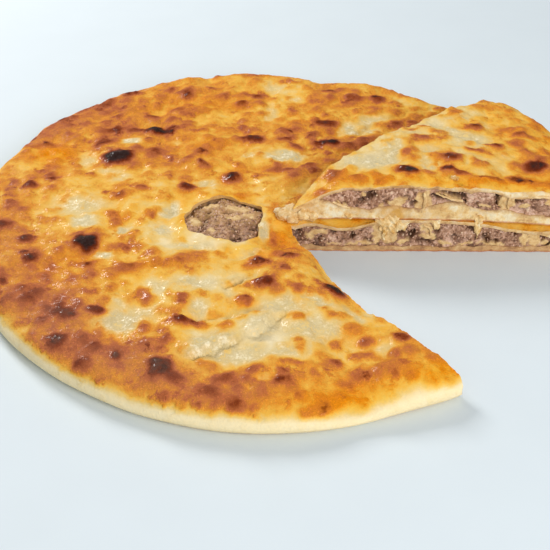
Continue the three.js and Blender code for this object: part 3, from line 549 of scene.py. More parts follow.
class PieSizes(bpy.types.PropertyGroup):
    """Sizes of the relief and of the loose pieces."""

    blister_rise: FloatProperty(
        name="Blister Rise", description="Height of a scorched blister for each unit of its width",
        default=0.3, min=0.0, subtype="FACTOR"
    )
    wrinkle: length_property("Wrinkle", "Height of the small wrinkles of the baked top", 0.75 * MM)
    crumble: length_property("Crumble", "Depth of the torn grain of a cut through dough", 0.5 * MM)
    mince_lump: length_property("Mince Lump", "Width of a lump of minced filling", 8.5 * MM)
    mince_grain: length_property("Mince Grain", "Width of a grain of minced filling", 2.3 * MM)
    loose_grain: length_property("Loose Grain", "Radius of the largest loose grain of mince", 1.0 * MM)
    strip_thickness: FloatProperty(
        name="Strip Thickness", description="Thickness of an onion strip as a share of its width",
        default=0.34, min=0.05, max=1.0, subtype="FACTOR"
    )
    seed: IntProperty(name="Seed", description="Seed of everything random", default=7)


class PieColours(bpy.types.PropertyGroup):
    """Colours of the dough, the filling and the stage."""

    cream: colour_property("Cream", "Dough that has hardly browned", (248, 232, 193))
    straw: colour_property("Straw", "Lightly baked dough", (238, 204, 130))
    honey: colour_property("Honey", "Yellow baked dough", (242, 186, 78))
    gold: colour_property("Gold", "Golden dough", (230, 149, 52))
    toffee: colour_property("Toffee", "Browned dough", (192, 107, 62))
    chestnut: colour_property("Chestnut", "Deeply browned dough", (122, 46, 12))
    char: colour_property("Char", "Burnt dough", (52, 33, 29))
    amber: colour_property("Amber", "Dough soaked with butter", (236, 140, 0))
    butter: colour_property("Butter", "Pale dough soaked with butter", (248, 194, 66))
    veil: colour_property("Veil", "Thin dough that the filling shows through", (198, 187, 152))
    thin_gold: colour_property("Thin Gold", "Thin dough with a first touch of gold", (222, 205, 162))
    milk: colour_property("Milk", "Thin dough that has stayed white", (247, 236, 204))
    # Its pinkish grey is partly a painted sheen on the browned rim
    bloom: colour_property("Bloom", "Dull bloom on the browned rim", (176, 122, 100))
    crumb: colour_property("Crumb", "Cut dough", (240, 208, 150))
    soaked: colour_property("Soaked", "Cut dough soaked with the filling's juice", (200, 154, 104))
    stained: colour_property("Stained", "Cut dough stained by butter", (208, 150, 58))
    meat: colour_property("Meat", "Cooked mince", (188, 144, 115))
    meat_brown: colour_property("Brown Meat", "Darker mince", (152, 107, 79))
    meat_pink: colour_property("Pink Meat", "Lighter, pinkish mince", (218, 176, 152))
    # Darkest mince, also the colour of the painted shade in the hollows
    meat_dark_and_shade: colour_property("Dark Meat", "Mince in the hollows", (76, 44, 22))
    meat_pale: colour_property("Pale Meat", "Fat and gristle in the mince", (238, 212, 176))
    onion: colour_property("Onion", "Soft cooked onion", (206, 160, 98))
    floor: colour_property("Floor", "Floor of the stage", (222, 232, 238))


# Shape functions, in millimetres


def bell(distance, spread):
    """A smooth bump of 1 at distance 0."""
    return np.exp(-((distance / spread) ** 2))


def smooth(share):
    """An even step from 0 to 1."""
    share = np.clip(share, 0, 1)
    return share * share * (3 - 2 * share)


def ease_out(share):
    """A step from 0 to 1 that is steepest at its start."""
    return 1 - (1 - np.clip(share, 0, 1)) ** 2


def waves(u, v):
    """Waves of several lengths crossing at golden angles, as the solids have them."""
    total = 0
    for i in range(SWELL_COUNT):
        length = SWELL_LONGEST + (SWELL_SHORTEST - SWELL_LONGEST) * i / (SWELL_COUNT - 1)
        along = u * math.cos(i * GOLDEN_ANGLE) + v * math.sin(i * GOLDEN_ANGLE)
        total = total + np.sin(2 * math.pi * along / length + i * i)
    return total / math.sqrt(SWELL_COUNT)


def lattice_random(column, row, seed):
    """A fixed random share for each cell of a grid."""
    mixed = np.sin(column * HASH_COLUMN + row * HASH_ROW + seed * HASH_SEED) * HASH_SPREAD
    return mixed - np.floor(mixed)


def noise(x, y, size, seed):
    """A smooth random field of about -1 to 1, with lumps of the given size."""
    u, v = x / size, y / size
    column, row = np.floor(u), np.floor(v)
    across, up = u - column, v - row
    ease_x = across**3 * (across * (across * 6 - 15) + 10)
    ease_y = up**3 * (up * (up * 6 - 15) + 10)

    def corner(dx, dy):
        turn = 2 * math.pi * lattice_random(column + dx, row + dy, seed)
        return np.cos(turn) * (across - dx) + np.sin(turn) * (up - dy)

    low = corner(0, 0) + (corner(1, 0) - corner(0, 0)) * ease_x
    high = corner(0, 1) + (corner(1, 1) - corner(0, 1)) * ease_x
    return NOISE_GAIN * (low + (high - low) * ease_y)


def layered_noise(x, y, size, seed, layers=3):
    """Noise of several sizes, each half as large and as strong as the one before."""
    total = 0
    for i in range(layers):
        total = total + noise(x, y, size / 2**i, seed + NOISE_SEED_STEP * i) / 2**i
    return total


def cells(x, y, size, seed):
    """Rounded cells: the distance to the nearest centre, and a random share for each cell."""
    u, v = x / size, y / size
    column, row = np.floor(u), np.floor(v)
    nearest = np.full(u.shape, FAR)
    share = np.zeros(u.shape)
    for dx in (-1, 0, 1):
        for dy in (-1, 0, 1):
            cell_x, cell_y = column + dx, row + dy
            centre_x = cell_x + CELL_MARGIN + CELL_ROOM * lattice_random(cell_x, cell_y, seed)
            centre_y = cell_y + CELL_MARGIN + CELL_ROOM * lattice_random(cell_x, cell_y, seed + CELL_Y_SEED)
            distance = np.hypot(u - centre_x, v - centre_y)
            closer = distance < nearest
            share = np.where(closer, lattice_random(cell_x, cell_y, seed + CELL_SHARE_SEED), share)
            nearest = np.minimum(nearest, distance)
    return nearest, share


def ripple(angle, parts):
    """Waves round a closed edge."""
    return sum(height * np.sin(count * angle + shift) for height, count, shift in parts)


def turned_off(angle, at):
    """Degrees from a direction to an angle, from -180 to 180."""
    return (np.degrees(angle) - at + 180) % 360 - 180


def outline(angle):
    """Radius of the pie's outline in one direction."""
    radius = RADIUS + ripple(angle, OUTLINE_WAVES)
    for at, depth, spread in OUTLINE_DENTS:
        radius = radius + depth * bell(turned_off(angle, at), spread)
    return radius


def dome(x, y):
    """Height of the smooth top, before any relief."""
    fall = RIM_FALL - RIM_FALL_TURN * y / RADIUS
    return CENTRE_HEIGHT - fall * np.minimum(np.hypot(x, y) / RADIUS, 1) ** 3


def back_turn(distance):
    """Direction of the slice's back cut at a distance from its tip, in radians."""
    return np.radians(SLICE_ANGLE - SLICE_BEND * smooth(distance / SLICE_LENGTH - SLICE_BEND_START))


def tip_distance(x, y):
    """Distance from the slice's tip."""
    return np.hypot(x - SLICE_TIP[0], y - SLICE_TIP[1])


def slice_cuts(x, y):
    """Distances inwards from the slice's front and back cuts."""
    dx, dy = x - SLICE_TIP[0], y - SLICE_TIP[1]
    turn = back_turn(np.hypot(dx, dy))
    return dy, dx * np.sin(turn) - dy * np.cos(turn)


def outside_slice(x, y):
    """How far a place is outside the slice's footprint."""
    inside = np.minimum.reduce([*slice_cuts(x, y), SLICE_LENGTH - tip_distance(x, y)])
    return np.maximum(-inside, 0)


def gap_back(share):
    """Place on the gap's straight back cut."""
    return tuple(GAP_TIP[i] + (GAP_BACK_END[i] - GAP_TIP[i]) * share for i in (0, 1))


def gap_front(share):
    """Place on the gap's bowed front cut."""
    ends = zip(GAP_FRONT_TIP, GAP_FRONT_BEND, GAP_FRONT_END)
    rest = 1 - share
    return tuple(rest**2 * a + 2 * share * rest * b + share**2 * c for a, b, c in ends)


def front_cut_distance(x, y):
    """Distance to the gap's front cut."""
    nearest = np.full(np.shape(x), FAR)
    for share in np.linspace(0, 1, FRONT_CUT_PLACES):
        place_x, place_y = gap_front(share)
        nearest = np.minimum(nearest, np.hypot(x - place_x, y - place_y))
    return nearest


def back_cut_line(x):
    """Y of the gap's back cut."""
    long, wide = (GAP_BACK_END[i] - GAP_TIP[i] for i in (0, 1))
    return GAP_TIP[1] + wide * (x - GAP_TIP[0]) / long


def edge_drop(x, y):
    """How much lower the top is beside the cuts and at the slumped tip of the gap."""
    from_corner = np.hypot(x - GAP_FRONT_END[0], y - GAP_FRONT_END[1])
    drop = EDGE_DROP * bell(front_cut_distance(x, y), EDGE_DROP_REACH)
    drop = drop * smooth(from_corner / CORNER_REACH)
    drop = drop + TIP_SAG * bell(np.hypot(x - TIP_SAG_X, y - TIP_SAG_Y), TIP_SAG_REACH)
    behind_cut = np.maximum(y - back_cut_line(x), 0)
    for at, depth, half in BACK_DROPS:
        drop = drop + depth * bell(x - at, half) * bell(behind_cut, BACK_DROP_REACH) * (x > GAP_TIP[0])
    return drop


def top_height(x, y):
    """Height of the pie's top with its broad relief."""
    relief = SWELL_SIZE * waves(x, y)
    for place_x, place_y, across, rise in BLISTERS:
        relief = relief + rise * bell(np.hypot(x - place_x, y - place_y), across / BLISTER_PEAK)
    relief = relief * smooth(outside_slice(x, y) / PRESSED_MARGIN)
    from_vent = np.maximum(0, np.hypot(x - VENT_X, y - VENT_Y) - VENT_REACH)
    return dome(x, y) + relief - VENT_DIP * bell(from_vent, VENT_DIP_REACH) - edge_drop(x, y)


def slice_thickness(distance, x, y):
    """Thickness of the slice at a distance from its tip."""
    body = SLICE_HEIGHT - SLICE_RIM_FALL * np.minimum(distance / SLICE_LENGTH, 1) ** 3
    taper = ease_out(distance / SLICE_TIP_TAPER)
    swell = SLICE_SWELL * waves(x + SLICE_SWELL_SHIFT[0], y + SLICE_SWELL_SHIFT[1])
    return SLICE_TIP_HEIGHT + (body - SLICE_TIP_HEIGHT) * taper + swell * taper


# Baked fields: how browned, pale, oily or dull the top is at each place


def drift(x, y, seed):
    """A broad and a fine shift at random."""
    return sum(amount * noise(x, y, size, seed + i) for i, (amount, size) in enumerate(DRIFTS))


def warped(x, y, seed, amount):
    """Places shifted a little at random, so that round marks get ragged outlines."""
    return x + amount * drift(x, y, seed), y + amount * drift(x, y, seed + len(DRIFTS))


def patch(x, y, mark, power, spread=1.0):
    """A soft oval of 1 at its middle and about a third at its edge."""
    place_x, place_y, half_long, half_wide, _, *turn = mark
    angle = math.radians(sum(turn))
    dx, dy = x - place_x, y - place_y
    along = (dx * math.cos(angle) + dy * math.sin(angle)) / half_long
    across = (dy * math.cos(angle) - dx * math.sin(angle)) / half_wide
    return np.exp(-((np.hypot(along, across) / spread) ** power))


def patches(x, y, marks, power, spread=1.0, join=np.maximum):
    """Several soft ovals joined: the strongest at each place, unless they are to be added up."""
    total = np.zeros(np.shape(x))
    for mark in marks:
        total = join(total, mark[4] * patch(x, y, mark, power, spread))
    return total


def line_distance(x, y, start_x, start_y, end_x, end_y):
    """Distance to a straight stretch."""
    way_x, way_y = end_x - start_x, end_y - start_y
    share = ((x - start_x) * way_x + (y - start_y) * way_y) / (way_x**2 + way_y**2)
    share = np.clip(share, 0, 1)
    return np.hypot(x - start_x - share * way_x, y - start_y - share * way_y)


def crease_depth(x, y, creases):
    """Depth of the creases; a ridge counts as less than nothing."""
    total = np.zeros(np.shape(x))
    for start_x, start_y, end_x, end_y, half, depth in creases:
        total = total + depth * bell(line_distance(x, y, start_x, start_y, end_x, end_y), half)
    return total


def fold_height(x, y, folds):
    """Steps where the thin top is folded over itself."""
    total = np.zeros(np.shape(x))
    for start_x, start_y, end_x, end_y, rise, reach in folds:
        length = math.hypot(end_x - start_x, end_y - start_y)
        way_x, way_y = (end_x - start_x) / length, (end_y - start_y) / length
        along = (x - start_x) * way_x + (y - start_y) * way_y
        left = (y - start_y) * way_x - (x - start_x) * way_y
        beyond = np.maximum(np.maximum(-along, along - length), 0)
        over = smooth(left / FOLD_LIP + 0.5)
        trough = FOLD_TROUGH * (1 - over) * bell(np.minimum(left, 0), reach / 2)
        step = over * bell(np.maximum(left, 0), reach) - trough
        total = total + rise * step * bell(beyond, FOLD_END)
    return total


def fine_relief(x, y, look, sizes):
    """Small blisters, hollows, creases and wrinkles that the solids leave out."""
    seed = sizes.seed
    near_x, near_y = warped(x, y, seed, MARK_WARP)
    relief = np.zeros(np.shape(x))
    for mark in look["marks"]:
        rise = min(sizes.blister_rise * min(mark[2], mark[3]), HIGHEST_BLISTER)
        relief = np.maximum(relief, rise * patch(near_x, near_y, mark, BLISTER_POWER))
    hollow = patches(near_x, near_y, look["pale"], THIN_POWER)
    thin = np.minimum(hollow, 1)
    relief = relief - THIN_SUNK * hollow - crease_depth(near_x, near_y, look["creases"])
    relief = relief + fold_height(*warped(x, y, seed + FOLD_SEED, FOLD_WARP), look["folds"])
    relief = relief + THIN_LUMPS * thin * layered_noise(x, y, THIN_LUMP_SIZE, seed + THIN_SEED)
    relief = relief + SMALL_BLISTER_RISE * small_blisters(near_x, near_y, seed + BLISTER_SEED) * (1 - thin)
    wrinkles = layered_noise(x, y, WRINKLE_SIZE, seed + WRINKLE_SEED)
    wrinkles = wrinkles + BROAD_SHARE * layered_noise(x, y, BROAD_SIZE, seed + BROAD_SEED, 2)
    wrinkles = wrinkles + ridges(near_x, near_y, seed + RIDGE_SEED)
    return relief + sizes.wrinkle / MM * wrinkles


def small_blisters(x, y, seed):
    """Rounded blisters of uneven size all over a top, from 0 to 1."""
    near, share = cells(x, y, SMALL_BLISTER_SPACING, seed)
    shape = smooth(BLISTER_FLAT - near / (BLISTER_LEAST + BLISTER_SPAN * share))
    return shape * smooth((share - BLISTER_CHOSEN) / BLISTER_BLUR)


def ridges(x, y, seed):
    """Narrow wrinkles that run every way."""
    total = 0
    for i, (top, slope, size) in enumerate(RIDGES):
        total = total + top - slope * np.abs(noise(x, y, size, seed + i))
    return total


def bake_fields(x, y, look, seed):
    """Browning, paleness, oil, and bloom with its painted sheen, of a top at each place."""
    near_x, near_y = warped(x, y, seed, MARK_WARP)
    torn_x, torn_y = warped(x, y, seed + PALE_SEED, PALE_WARP)
    bake = look["bake"] + patches(near_x, near_y, look["areas"], SOFT_POWER, join=np.add)
    for strength, size, offset in UNEVEN_BAKE:
        bake = bake + strength * layered_noise(x, y, size, seed + offset)
    blisters = small_blisters(near_x, near_y, seed + BLISTER_SEED)
    bake = bake + SMALL_BLISTER_BAKE * (blisters - SMALL_BLISTER_MEAN)
    bake = bake + RIDGE_BAKE * np.maximum(ridges(near_x, near_y, seed + RIDGE_SEED), RIDGE_LEAST)
    scorch = np.zeros(np.shape(x))
    for mark in look["marks"]:
        core = CORE_SCORCH * mark[4] * patch(near_x, near_y, mark, CORE_POWER)
        halo = (HALO_LEAST + HALO_SCORCH * mark[4]) * patch(near_x, near_y, wider(mark), SOFT_POWER)
        scorch = np.maximum(scorch, core + halo)
    return {
        "bake": bake,
        "scorch": scorch,
        "pale": patches(torn_x, torn_y, look["pale"], PALE_POWER),
        "amber": patches(near_x, near_y, look["amber"], SOFT_POWER),
        "bloom_and_painted_sheen": patches(near_x, near_y, look["bloom_and_painted_sheen"], SOFT_POWER),
        "oil": bell(np.hypot(x - look["oil"][0], y - look["oil"][1]), look["oil"][2]),
    }


def wider(mark):
    """A mark's warm halo."""
    return (mark[0], mark[1], mark[2] + HALO_WIDTH, mark[3] + HALO_WIDTH, *mark[4:])


PIE_LOOK = {
    "bake": PIE_BAKE, "marks": PIE_MARKS, "areas": PIE_AREAS, "pale": PIE_PALE, "amber": PIE_AMBER,
    "bloom_and_painted_sheen": PIE_BLOOM_AND_SHEEN, "creases": PIE_CREASES, "folds": PIE_FOLDS, "oil": PIE_OIL, "stains": (),
}
SLICE_LOOK = {
    "bake": SLICE_BAKE, "marks": SLICE_MARKS, "areas": SLICE_AREAS, "pale": SLICE_PALE, "amber": SLICE_AMBER,
    "bloom_and_painted_sheen": SLICE_BLOOM_AND_SHEEN, "creases": SLICE_CREASES, "folds": SLICE_FOLDS, "oil": SLICE_OIL,
    "stains": SLICE_STAINS,
}


# Mesh helpers


def new_object(name, places, faces, edges=()):
    """A mesh object from places in millimetres."""
    mesh = bpy.data.meshes.new(name)
    mesh.from_pydata((np.asarray(places) * MM).tolist(), edges, [list(map(int, face)) for face in faces])
    mesh.update()
    thing = bpy.data.objects.new(name, mesh)
    bpy.context.scene.collection.objects.link(thing)
    return thing


def set_values(mesh, name, values, domain="POINT"):
    """Stores one number for each point or face."""
    attribute = mesh.attributes.get(name) or mesh.attributes.new(name, "FLOAT", domain)
    attribute.data.foreach_set("value", np.asarray(values, np.float32))


def get_values(mesh, name, count):
    """Reads back one number for each point or face."""
    values = np.zeros(count, np.float32)
    mesh.attributes[name].data.foreach_get("value", values)
    return values


def places_of(mesh):
    """A mesh's points in millimetres."""
    flat = np.zeros(len(mesh.vertices) * 3, np.float32)
    mesh.vertices.foreach_get("co", flat)
    return flat.reshape(-1, 3).astype(float) / MM


def mark_faces(thing, name, value):
    """Gives every face of an object the same number."""
    set_values(thing.data, name, np.full(len(thing.data.polygons), value), "FACE")


def cut(thing, cutter, operation="DIFFERENCE"):
    """Cuts one closed body by another and removes the cutter."""
    modifier = thing.modifiers.new("cut", "BOOLEAN")
    modifier.operation = operation
    modifier.solver = "MANIFOLD"
    modifier.object = cutter
    settle(thing)
    bpy.data.objects.remove(cutter)


def settle(thing):
    """Turns an object's modifiers into its plain mesh."""
    graph = bpy.context.evaluated_depsgraph_get()
    mesh = bpy.data.meshes.new_from_object(thing.evaluated_get(graph))
    old = thing.data
    thing.modifiers.clear()
    thing.data = mesh
    mesh.name = thing.name
    bpy.data.meshes.remove(old)


def finish_piece(thing, material, slot, *nodes):
    """Smooths a piece, gives it its material and ties it to the frame."""
    mesh = thing.data
    mesh.materials.clear()
    mesh.materials.append(material)
    mesh.shade_smooth()
    mesh.set_sharp_from_angle(angle=SHARP_ANGLE)
    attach(thing, BODY)
    if nodes:
        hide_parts(*nodes)


def disc_grid(count):
    """A square grid bent into a disc: share of radius, angle, faces and the border's points in order."""
    side = np.linspace(-1, 1, count + 1)
    u, v = np.meshgrid(side, side, indexing="ij")
    wide = np.abs(u) >= np.abs(v)
    larger = np.where(wide, u, v)
    smaller = np.where(wide, v, u)
    ratio = np.divide(smaller, larger, out=np.zeros_like(u), where=larger != 0)
    angle = np.where(wide, ratio, 2 - ratio) * math.pi / 4 + np.where(larger < 0, math.pi, 0)
    index = np.arange((count + 1) ** 2).reshape(count + 1, count + 1)
    faces = np.stack([index[:-1, :-1], index[1:, :-1], index[1:, 1:], index[:-1, 1:]], -1).reshape(-1, 4)
    border = np.concatenate([index[:-1, 0], index[-1, :-1], index[:0:-1, -1], index[0, :0:-1]])
    return np.abs(larger).ravel(), angle.ravel(), faces, border


def rim_section(foot, round_share, belly):
    """Shares of radius and height from the edge of the top, down the rim, to the floor."""
    section = []
    for turn in np.linspace(math.pi / 2, 0, SHOULDER_STEPS + 1):
        reach = 1 - round_share + round_share * math.cos(turn)
        section.append((reach, belly + (1 - belly) * math.sin(turn)))
    for turn in np.linspace(math.pi / 2, 0, FOOT_STEPS + 1)[1:]:
        section.append((1 - foot + foot * math.sin(turn), belly * (1 - math.cos(turn))))
    return section


def round_body(name, grid, section, place, floor_rings=FLOOR_RINGS):
    """A closed round body. place(share, angle, rise) gives points for shares of its radius and height."""
    share, angle, top_faces, border = disc_grid(grid)
    points = [place(share * section[0][0], angle, np.ones_like(share))]
    rim_angle = angle[border]
    rings = [border]
    count = len(share)
    inner = [(section[-1][0] * (1 - i / floor_rings), section[-1][1]) for i in range(1, floor_rings)]
    for ring_share, rise in [*section[1:], *inner]:
        points.append(place(np.full(len(border), ring_share), rim_angle, np.full(len(border), rise)))
        rings.append(np.arange(count, count + len(border)))
        count += len(border)
    points.append(place(np.zeros(1), np.zeros(1), np.full(1, section[-1][1])))
    faces = [*top_faces]
    for upper, lower in zip(rings, rings[1:]):
        faces.extend(np.stack([lower, np.roll(lower, -1), np.roll(upper, -1), upper], -1))
    last = rings[-1]
    faces.extend(np.stack([np.full(len(last), count), np.roll(last, -1), last], -1))
    return new_object(name, np.concatenate(points), faces)


def box_shell(long, wide, tall):
    """The surface of a block of cells: column, row and level of each point, faces, and each face's side."""
    index = {}
    faces = []
    sides = []

    def point(i, j, k):
        return index.setdefault((i, j, k), len(index))

    def add(side, corners):
        faces.append([point(*corner) for corner in corners])
        sides.append(side)

    for i in range(long):
        for j in range(wide):
            add("bottom", ((i, j, 0), (i, j + 1, 0), (i + 1, j + 1, 0), (i + 1, j, 0)))
            add("top", ((i, j, tall), (i + 1, j, tall), (i + 1, j + 1, tall), (i, j + 1, tall)))
    for i in range(long):
        for k in range(tall):
            add("front", ((i, 0, k), (i + 1, 0, k), (i + 1, 0, k + 1), (i, 0, k + 1)))
            add("back", ((i, wide, k), (i, wide, k + 1), (i + 1, wide, k + 1), (i + 1, wide, k)))
    for j in range(wide):
        for k in range(tall):
            add("near", ((0, j, k), (0, j, k + 1), (0, j + 1, k + 1), (0, j + 1, k)))
            add("far", ((long, j, k), (long, j + 1, k), (long, j + 1, k + 1), (long, j, k + 1)))
    cell = np.array(list(index), float)
    return cell[:, 0], cell[:, 1], cell[:, 2], faces, np.array(sides)


# The pie's crust


def crust_height(x, y, sizes):
    """Height of the pie's top with all its relief."""
    fine = fine_relief(x, y, PIE_LOOK, sizes)
    lip = LIP_RISE * bell(from_vent_edge(x, y), LIP_WIDTH)
    return top_height(x, y) + lip + fine * smooth(outside_slice(x, y) / PRESSED_MARGIN + PRESSED_START)


def polar_place(share, angle, reach):
    """Places at shares of a reach in given directions."""
    radius = share * reach
    return radius * np.cos(angle), radius * np.sin(angle)


def foot_undercut(angle, rise):
    """How much farther in the rim's foot is at the front left."""
    below = np.clip(1 - rise / RIM_BELLY, 0, 1)
    return LEFT_FOOT * bell(turned_off(angle, LEFT_FOOT_AT), LEFT_FOOT_SPREAD) * (1 - np.sqrt(1 - below**2))


def pie_body(sizes):
    """The whole round pie as one lump of dough."""

    def place(share, angle, rise):
        x, y = polar_place(share, angle, outline(angle) - foot_undercut(angle, rise))
        low = top_height(x, y)
        return np.stack([x, y, rise * (low + (crust_height(x, y, sizes) - low) * rise**2)], -1)

    return round_body("pie_dough", CRUST_GRID, rim_section(FOOT_INSET, RIM_ROUND, RIM_BELLY), place)


def from_vent_edge(x, y):
    """Distance outwards from the torn edge of the vent."""
    dx, dy = x - VENT_X, y - VENT_Y
    return np.hypot(dx, dy) - vent_radius(np.arctan2(dy, dx))


def top_dough(x, y):
    """Thickness of the dough over the filling, thinner at the cuts and round the vent."""
    behind_cut = np.maximum(y - back_cut_line(x), 0)
    at_back = bell(behind_cut, CUT_REACH) * (x > 0)
    at_cut = np.maximum(bell(front_cut_distance(x, y), CUT_REACH), at_back)
    at_lip = bell(np.maximum(from_vent_edge(x, y), 0), LIP_REACH)
    thick = TOP_DOUGH + (CUT_TOP_DOUGH - TOP_DOUGH) * at_cut
    return thick + (LIP_DOUGH - thick) * at_lip


def room_ceiling(x, y, sizes):
    """Height of the room for the filling."""
    ceiling = top_height(x, y) - top_dough(x, y)
    for dx, dy in NEIGHBOURS:
        ceiling = np.minimum(ceiling, crust_height(x + dx, y + dy, sizes) - THINNEST_DOUGH)
    return ceiling


def room_floor(x, y, sizes):
    """Height of the lower dough's ragged top."""
    lumps = FLOOR_LUMPS * layered_noise(x, y, FLOOR_LUMP_SIZE, sizes.seed + FLOOR_SEED, 2)
    return np.maximum(BOTTOM_DOUGH + lumps, LOWEST_FLOOR)


def filling_ceiling(x, y, sizes):
    """Height of the filling's top under the crust, lower along the torn edge of the vent."""
    at_back = smooth((y - VENT_Y) / (2 * VENT_REACH) + MOAT_MIDDLE)
    moat = VENT_MOAT * (MOAT_FRONT + MOAT_BACK * at_back)
    return room_ceiling(x, y, sizes) + BEDDED - moat * bell(from_vent_edge(x, y), VENT_MOAT_WIDTH)


def pie_hollow(sizes):
    """The room for the filling inside the crust."""

    def place(share, angle, rise):
        x, y = polar_place(share, angle, outline(angle) - RIM_DOUGH + CLEARANCE)
        low = room_floor(x, y, sizes) + BEDDED
        high = np.maximum(room_ceiling(x, y, sizes), low + HOLLOW_LEAST)
        return np.stack([x, y, low + rise * (high - low)], -1)

    section = rim_section(HOLLOW_FOOT, HOLLOW_ROUND, HOLLOW_BELLY)
    return round_body("hollow", HOLLOW_GRID, section, place, HOLLOW_RINGS)


def gap_place(share, across, depth_front, depth_back):
    """Places between the gap's front and back cuts, each wall moved into the pie by its depth."""
    front_x, front_y = gap_front(share)
    back_x, back_y = gap_back(share)
    next_x, next_y = gap_front(share + CUT_STEP)
    way_x, way_y = next_x - front_x, next_y - front_y
    length = np.hypot(way_x, way_y)
    front_x = front_x + depth_front * way_y / length
    front_y = front_y - depth_front * way_x / length
    back_y = back_y + depth_back
    bulge = share**3 * np.sin(math.pi * across)
    x = front_x + (back_x - front_x) * across + GAP_BULGE[0] * bulge
    y = front_y + (back_y - front_y) * across + GAP_BULGE[1] * bulge
    return x, y


def corner_depth(share):
    """How far the front cut turns into the pie near the rim, so that its corner is round."""
    x, y = gap_front(share)
    inside = np.hypot(x, y) - outline(np.arctan2(y, x)) + CORNER_ROUND
    return CORNER_ROUND * (1 - np.sqrt(1 - np.clip(inside / CORNER_ROUND, 0, 1) ** 2))


def gap_cutter(long, tall, levels, wall_depth):
    """A body that cuts the gap. wall_depth(place along the cut, height) is how far its walls go in."""
    i, j, k, faces, _ = box_shell(long, GAP_WIDE, tall)
    share = i / long
    z = levels[k.astype(int)]
    depth = wall_depth(gap_back(share)[0], z)
    front = (depth + corner_depth(share)) * (j == 0)
    x, y = gap_place(share, j / GAP_WIDE, front, depth * (j == GAP_WIDE))
    return new_object("gap", np.stack([x, y, z], -1), faces)


def cut_levels(low, high, tall):
    """Heights of a cutter's rows: close together where it cuts, with one row far above and one far below."""
    return np.array([low - CUT_BELOW, *np.linspace(low, high, tall - 1), high + CUT_ABOVE])


def vent_radius(angle):
    """Radius of the torn vent in one direction."""
    directions, distances = zip(*VENT_EDGE)
    return ripple(angle, VENT_RIPPLES) + np.interp(np.degrees(angle), directions, distances, period=360)


def vent_cutter():
    """A body that cuts the vent, wider above than below."""

    def place(share, angle, rise):
        reach = vent_radius(angle) * (VENT_NARROW + VENT_FLARE * rise)
        x, y = polar_place(share, angle, reach)
        return np.stack([x + VENT_X, y + VENT_Y, BOTTOM_DOUGH + VENT_FLOOR + rise * VENT_TALL], -1)

    return round_body("vent", VENT_GRID, [(1, rise) for rise in VENT_RISES], place)


def dough_wall(sizes):
    """Torn grain of a cut through dough."""
    seed = sizes.seed + CUT_SEED

    def depth(along, z):
        torn = layered_noise(along, z * CUT_STRETCH, CUT_GRAIN, seed)
        return sizes.crumble / MM * (torn + CUT_BROAD_SHARE * noise(along, z, CUT_BROAD, seed + 1))

    return depth


def cut_stain(x, y, z, rise, look, seed):
    """How stained by butter and juice a cut through dough is at each place."""
    patchy = layered_noise(x + y, z * STAIN_STRETCH, STAIN_SIZE, seed + STAIN_SEED)
    stain = STAIN * smooth(patchy + STAIN_LEAST)
    bent = x + STAIN_BEND * layered_noise(x, z, STAIN_BEND_SIZE, seed + STAIN_SEED + 1)
    for place, half, strength in look["stains"]:
        stain = np.maximum(stain, strength * bell(bent - place, half))
    stain = np.maximum(stain, TOP_STAIN * smooth((rise - TOP_STAIN_START) / TOP_STAIN_BLUR))
    return np.maximum(stain, VENT_STAIN * bell(from_vent_edge(x, y), VENT_STAIN_REACH))


def paint_crust(thing, look, height, juice, sizes):
    """Stores the baked fields. height(x, y) gives floor and top, juice(x, y, z) how soaked a cut is, with
    some painted shade on the vent's wall.
    """
    mesh = thing.data
    seed = sizes.seed
    x, y, z = places_of(mesh).T
    floor, top = height(x, y)
    rise = np.clip((z - floor) / (top - floor), 0, 1)
    fields = bake_fields(x, y, look, seed)
    ragged = RIM_RAGGED * layered_noise(x, y + RIM_RAGGED_STRETCH * z, RIM_RAGGED_SIZE, seed + RIM_SEED)
    side = smooth((RIM_PALE_RISE - rise + ragged) / RIM_PALE_BLUR)
    under = smooth((UNDER_RISE - rise) / UNDER_RISE)
    bake = fields["bake"] * (1 - side) + SIDE_BAKE * side
    under_bake = BASE_BAKE + UNDER_UNEVEN * layered_noise(x, y, UNDER_SIZE, seed + BASE_SEED)
    set_values(mesh, "bake", np.clip(bake * (1 - under) + under_bake * under, 0, BAKE_RANGE) / BAKE_RANGE)
    set_values(mesh, "scorch", fields["scorch"] * (1 - side) / BAKE_RANGE)
    for name in ("pale", "amber", "bloom_and_painted_sheen", "oil"):
        set_values(mesh, name, fields[name] * (1 - side))
    set_values(mesh, "rise", rise)
    set_values(mesh, "soak_and_shade", juice(x, y, z))
    set_values(mesh, "stain", cut_stain(x, y, z, rise, look, seed))


def build_pie_crust(sizes, material):
    """The dough of the pie, hollow, with the vent and the gap cut out."""
    crust = pie_body(sizes)
    mark_faces(crust, "crumb", 0)
    levels = cut_levels(CRUST_CUT_LOW, CRUST_CUT_HIGH, GAP_TALL)
    gap = gap_cutter(GAP_LONG, GAP_TALL, levels, dough_wall(sizes))
    for cutter in (pie_hollow(sizes), vent_cutter(), gap):
        mark_faces(cutter, "crumb", 1)
        cut(crust, cutter)

    def height(x, y):
        return np.zeros_like(x), top_height(x, y)

    def juice(x, y, z):
        low = smooth((BOTTOM_DOUGH + JUICE_REACH - z) / JUICE_REACH)
        high = TOP_JUICE * bell(z - top_height(x, y) + top_dough(x, y), TOP_JUICE_REACH)
        # Round the vent the cut wall is darkened as if soaked, partly as painted shade
        at_vent = VENT_JUICE_AND_SHADE * bell(from_vent_edge(x, y), VENT_JUICE_AND_SHADE_REACH) * (z < VENT_JUICE_AND_SHADE_TOP)
        return np.maximum.reduce([low, high, at_vent])

    paint_crust(crust, PIE_LOOK, height, juice, sizes)
    finish_piece(crust, material, DOUGH_SLOT, "pie_crust")


# The slice's crust


def slice_floor(x, y):
    """Height of the slice's underside."""
    return dome(x, y) + CLEARANCE


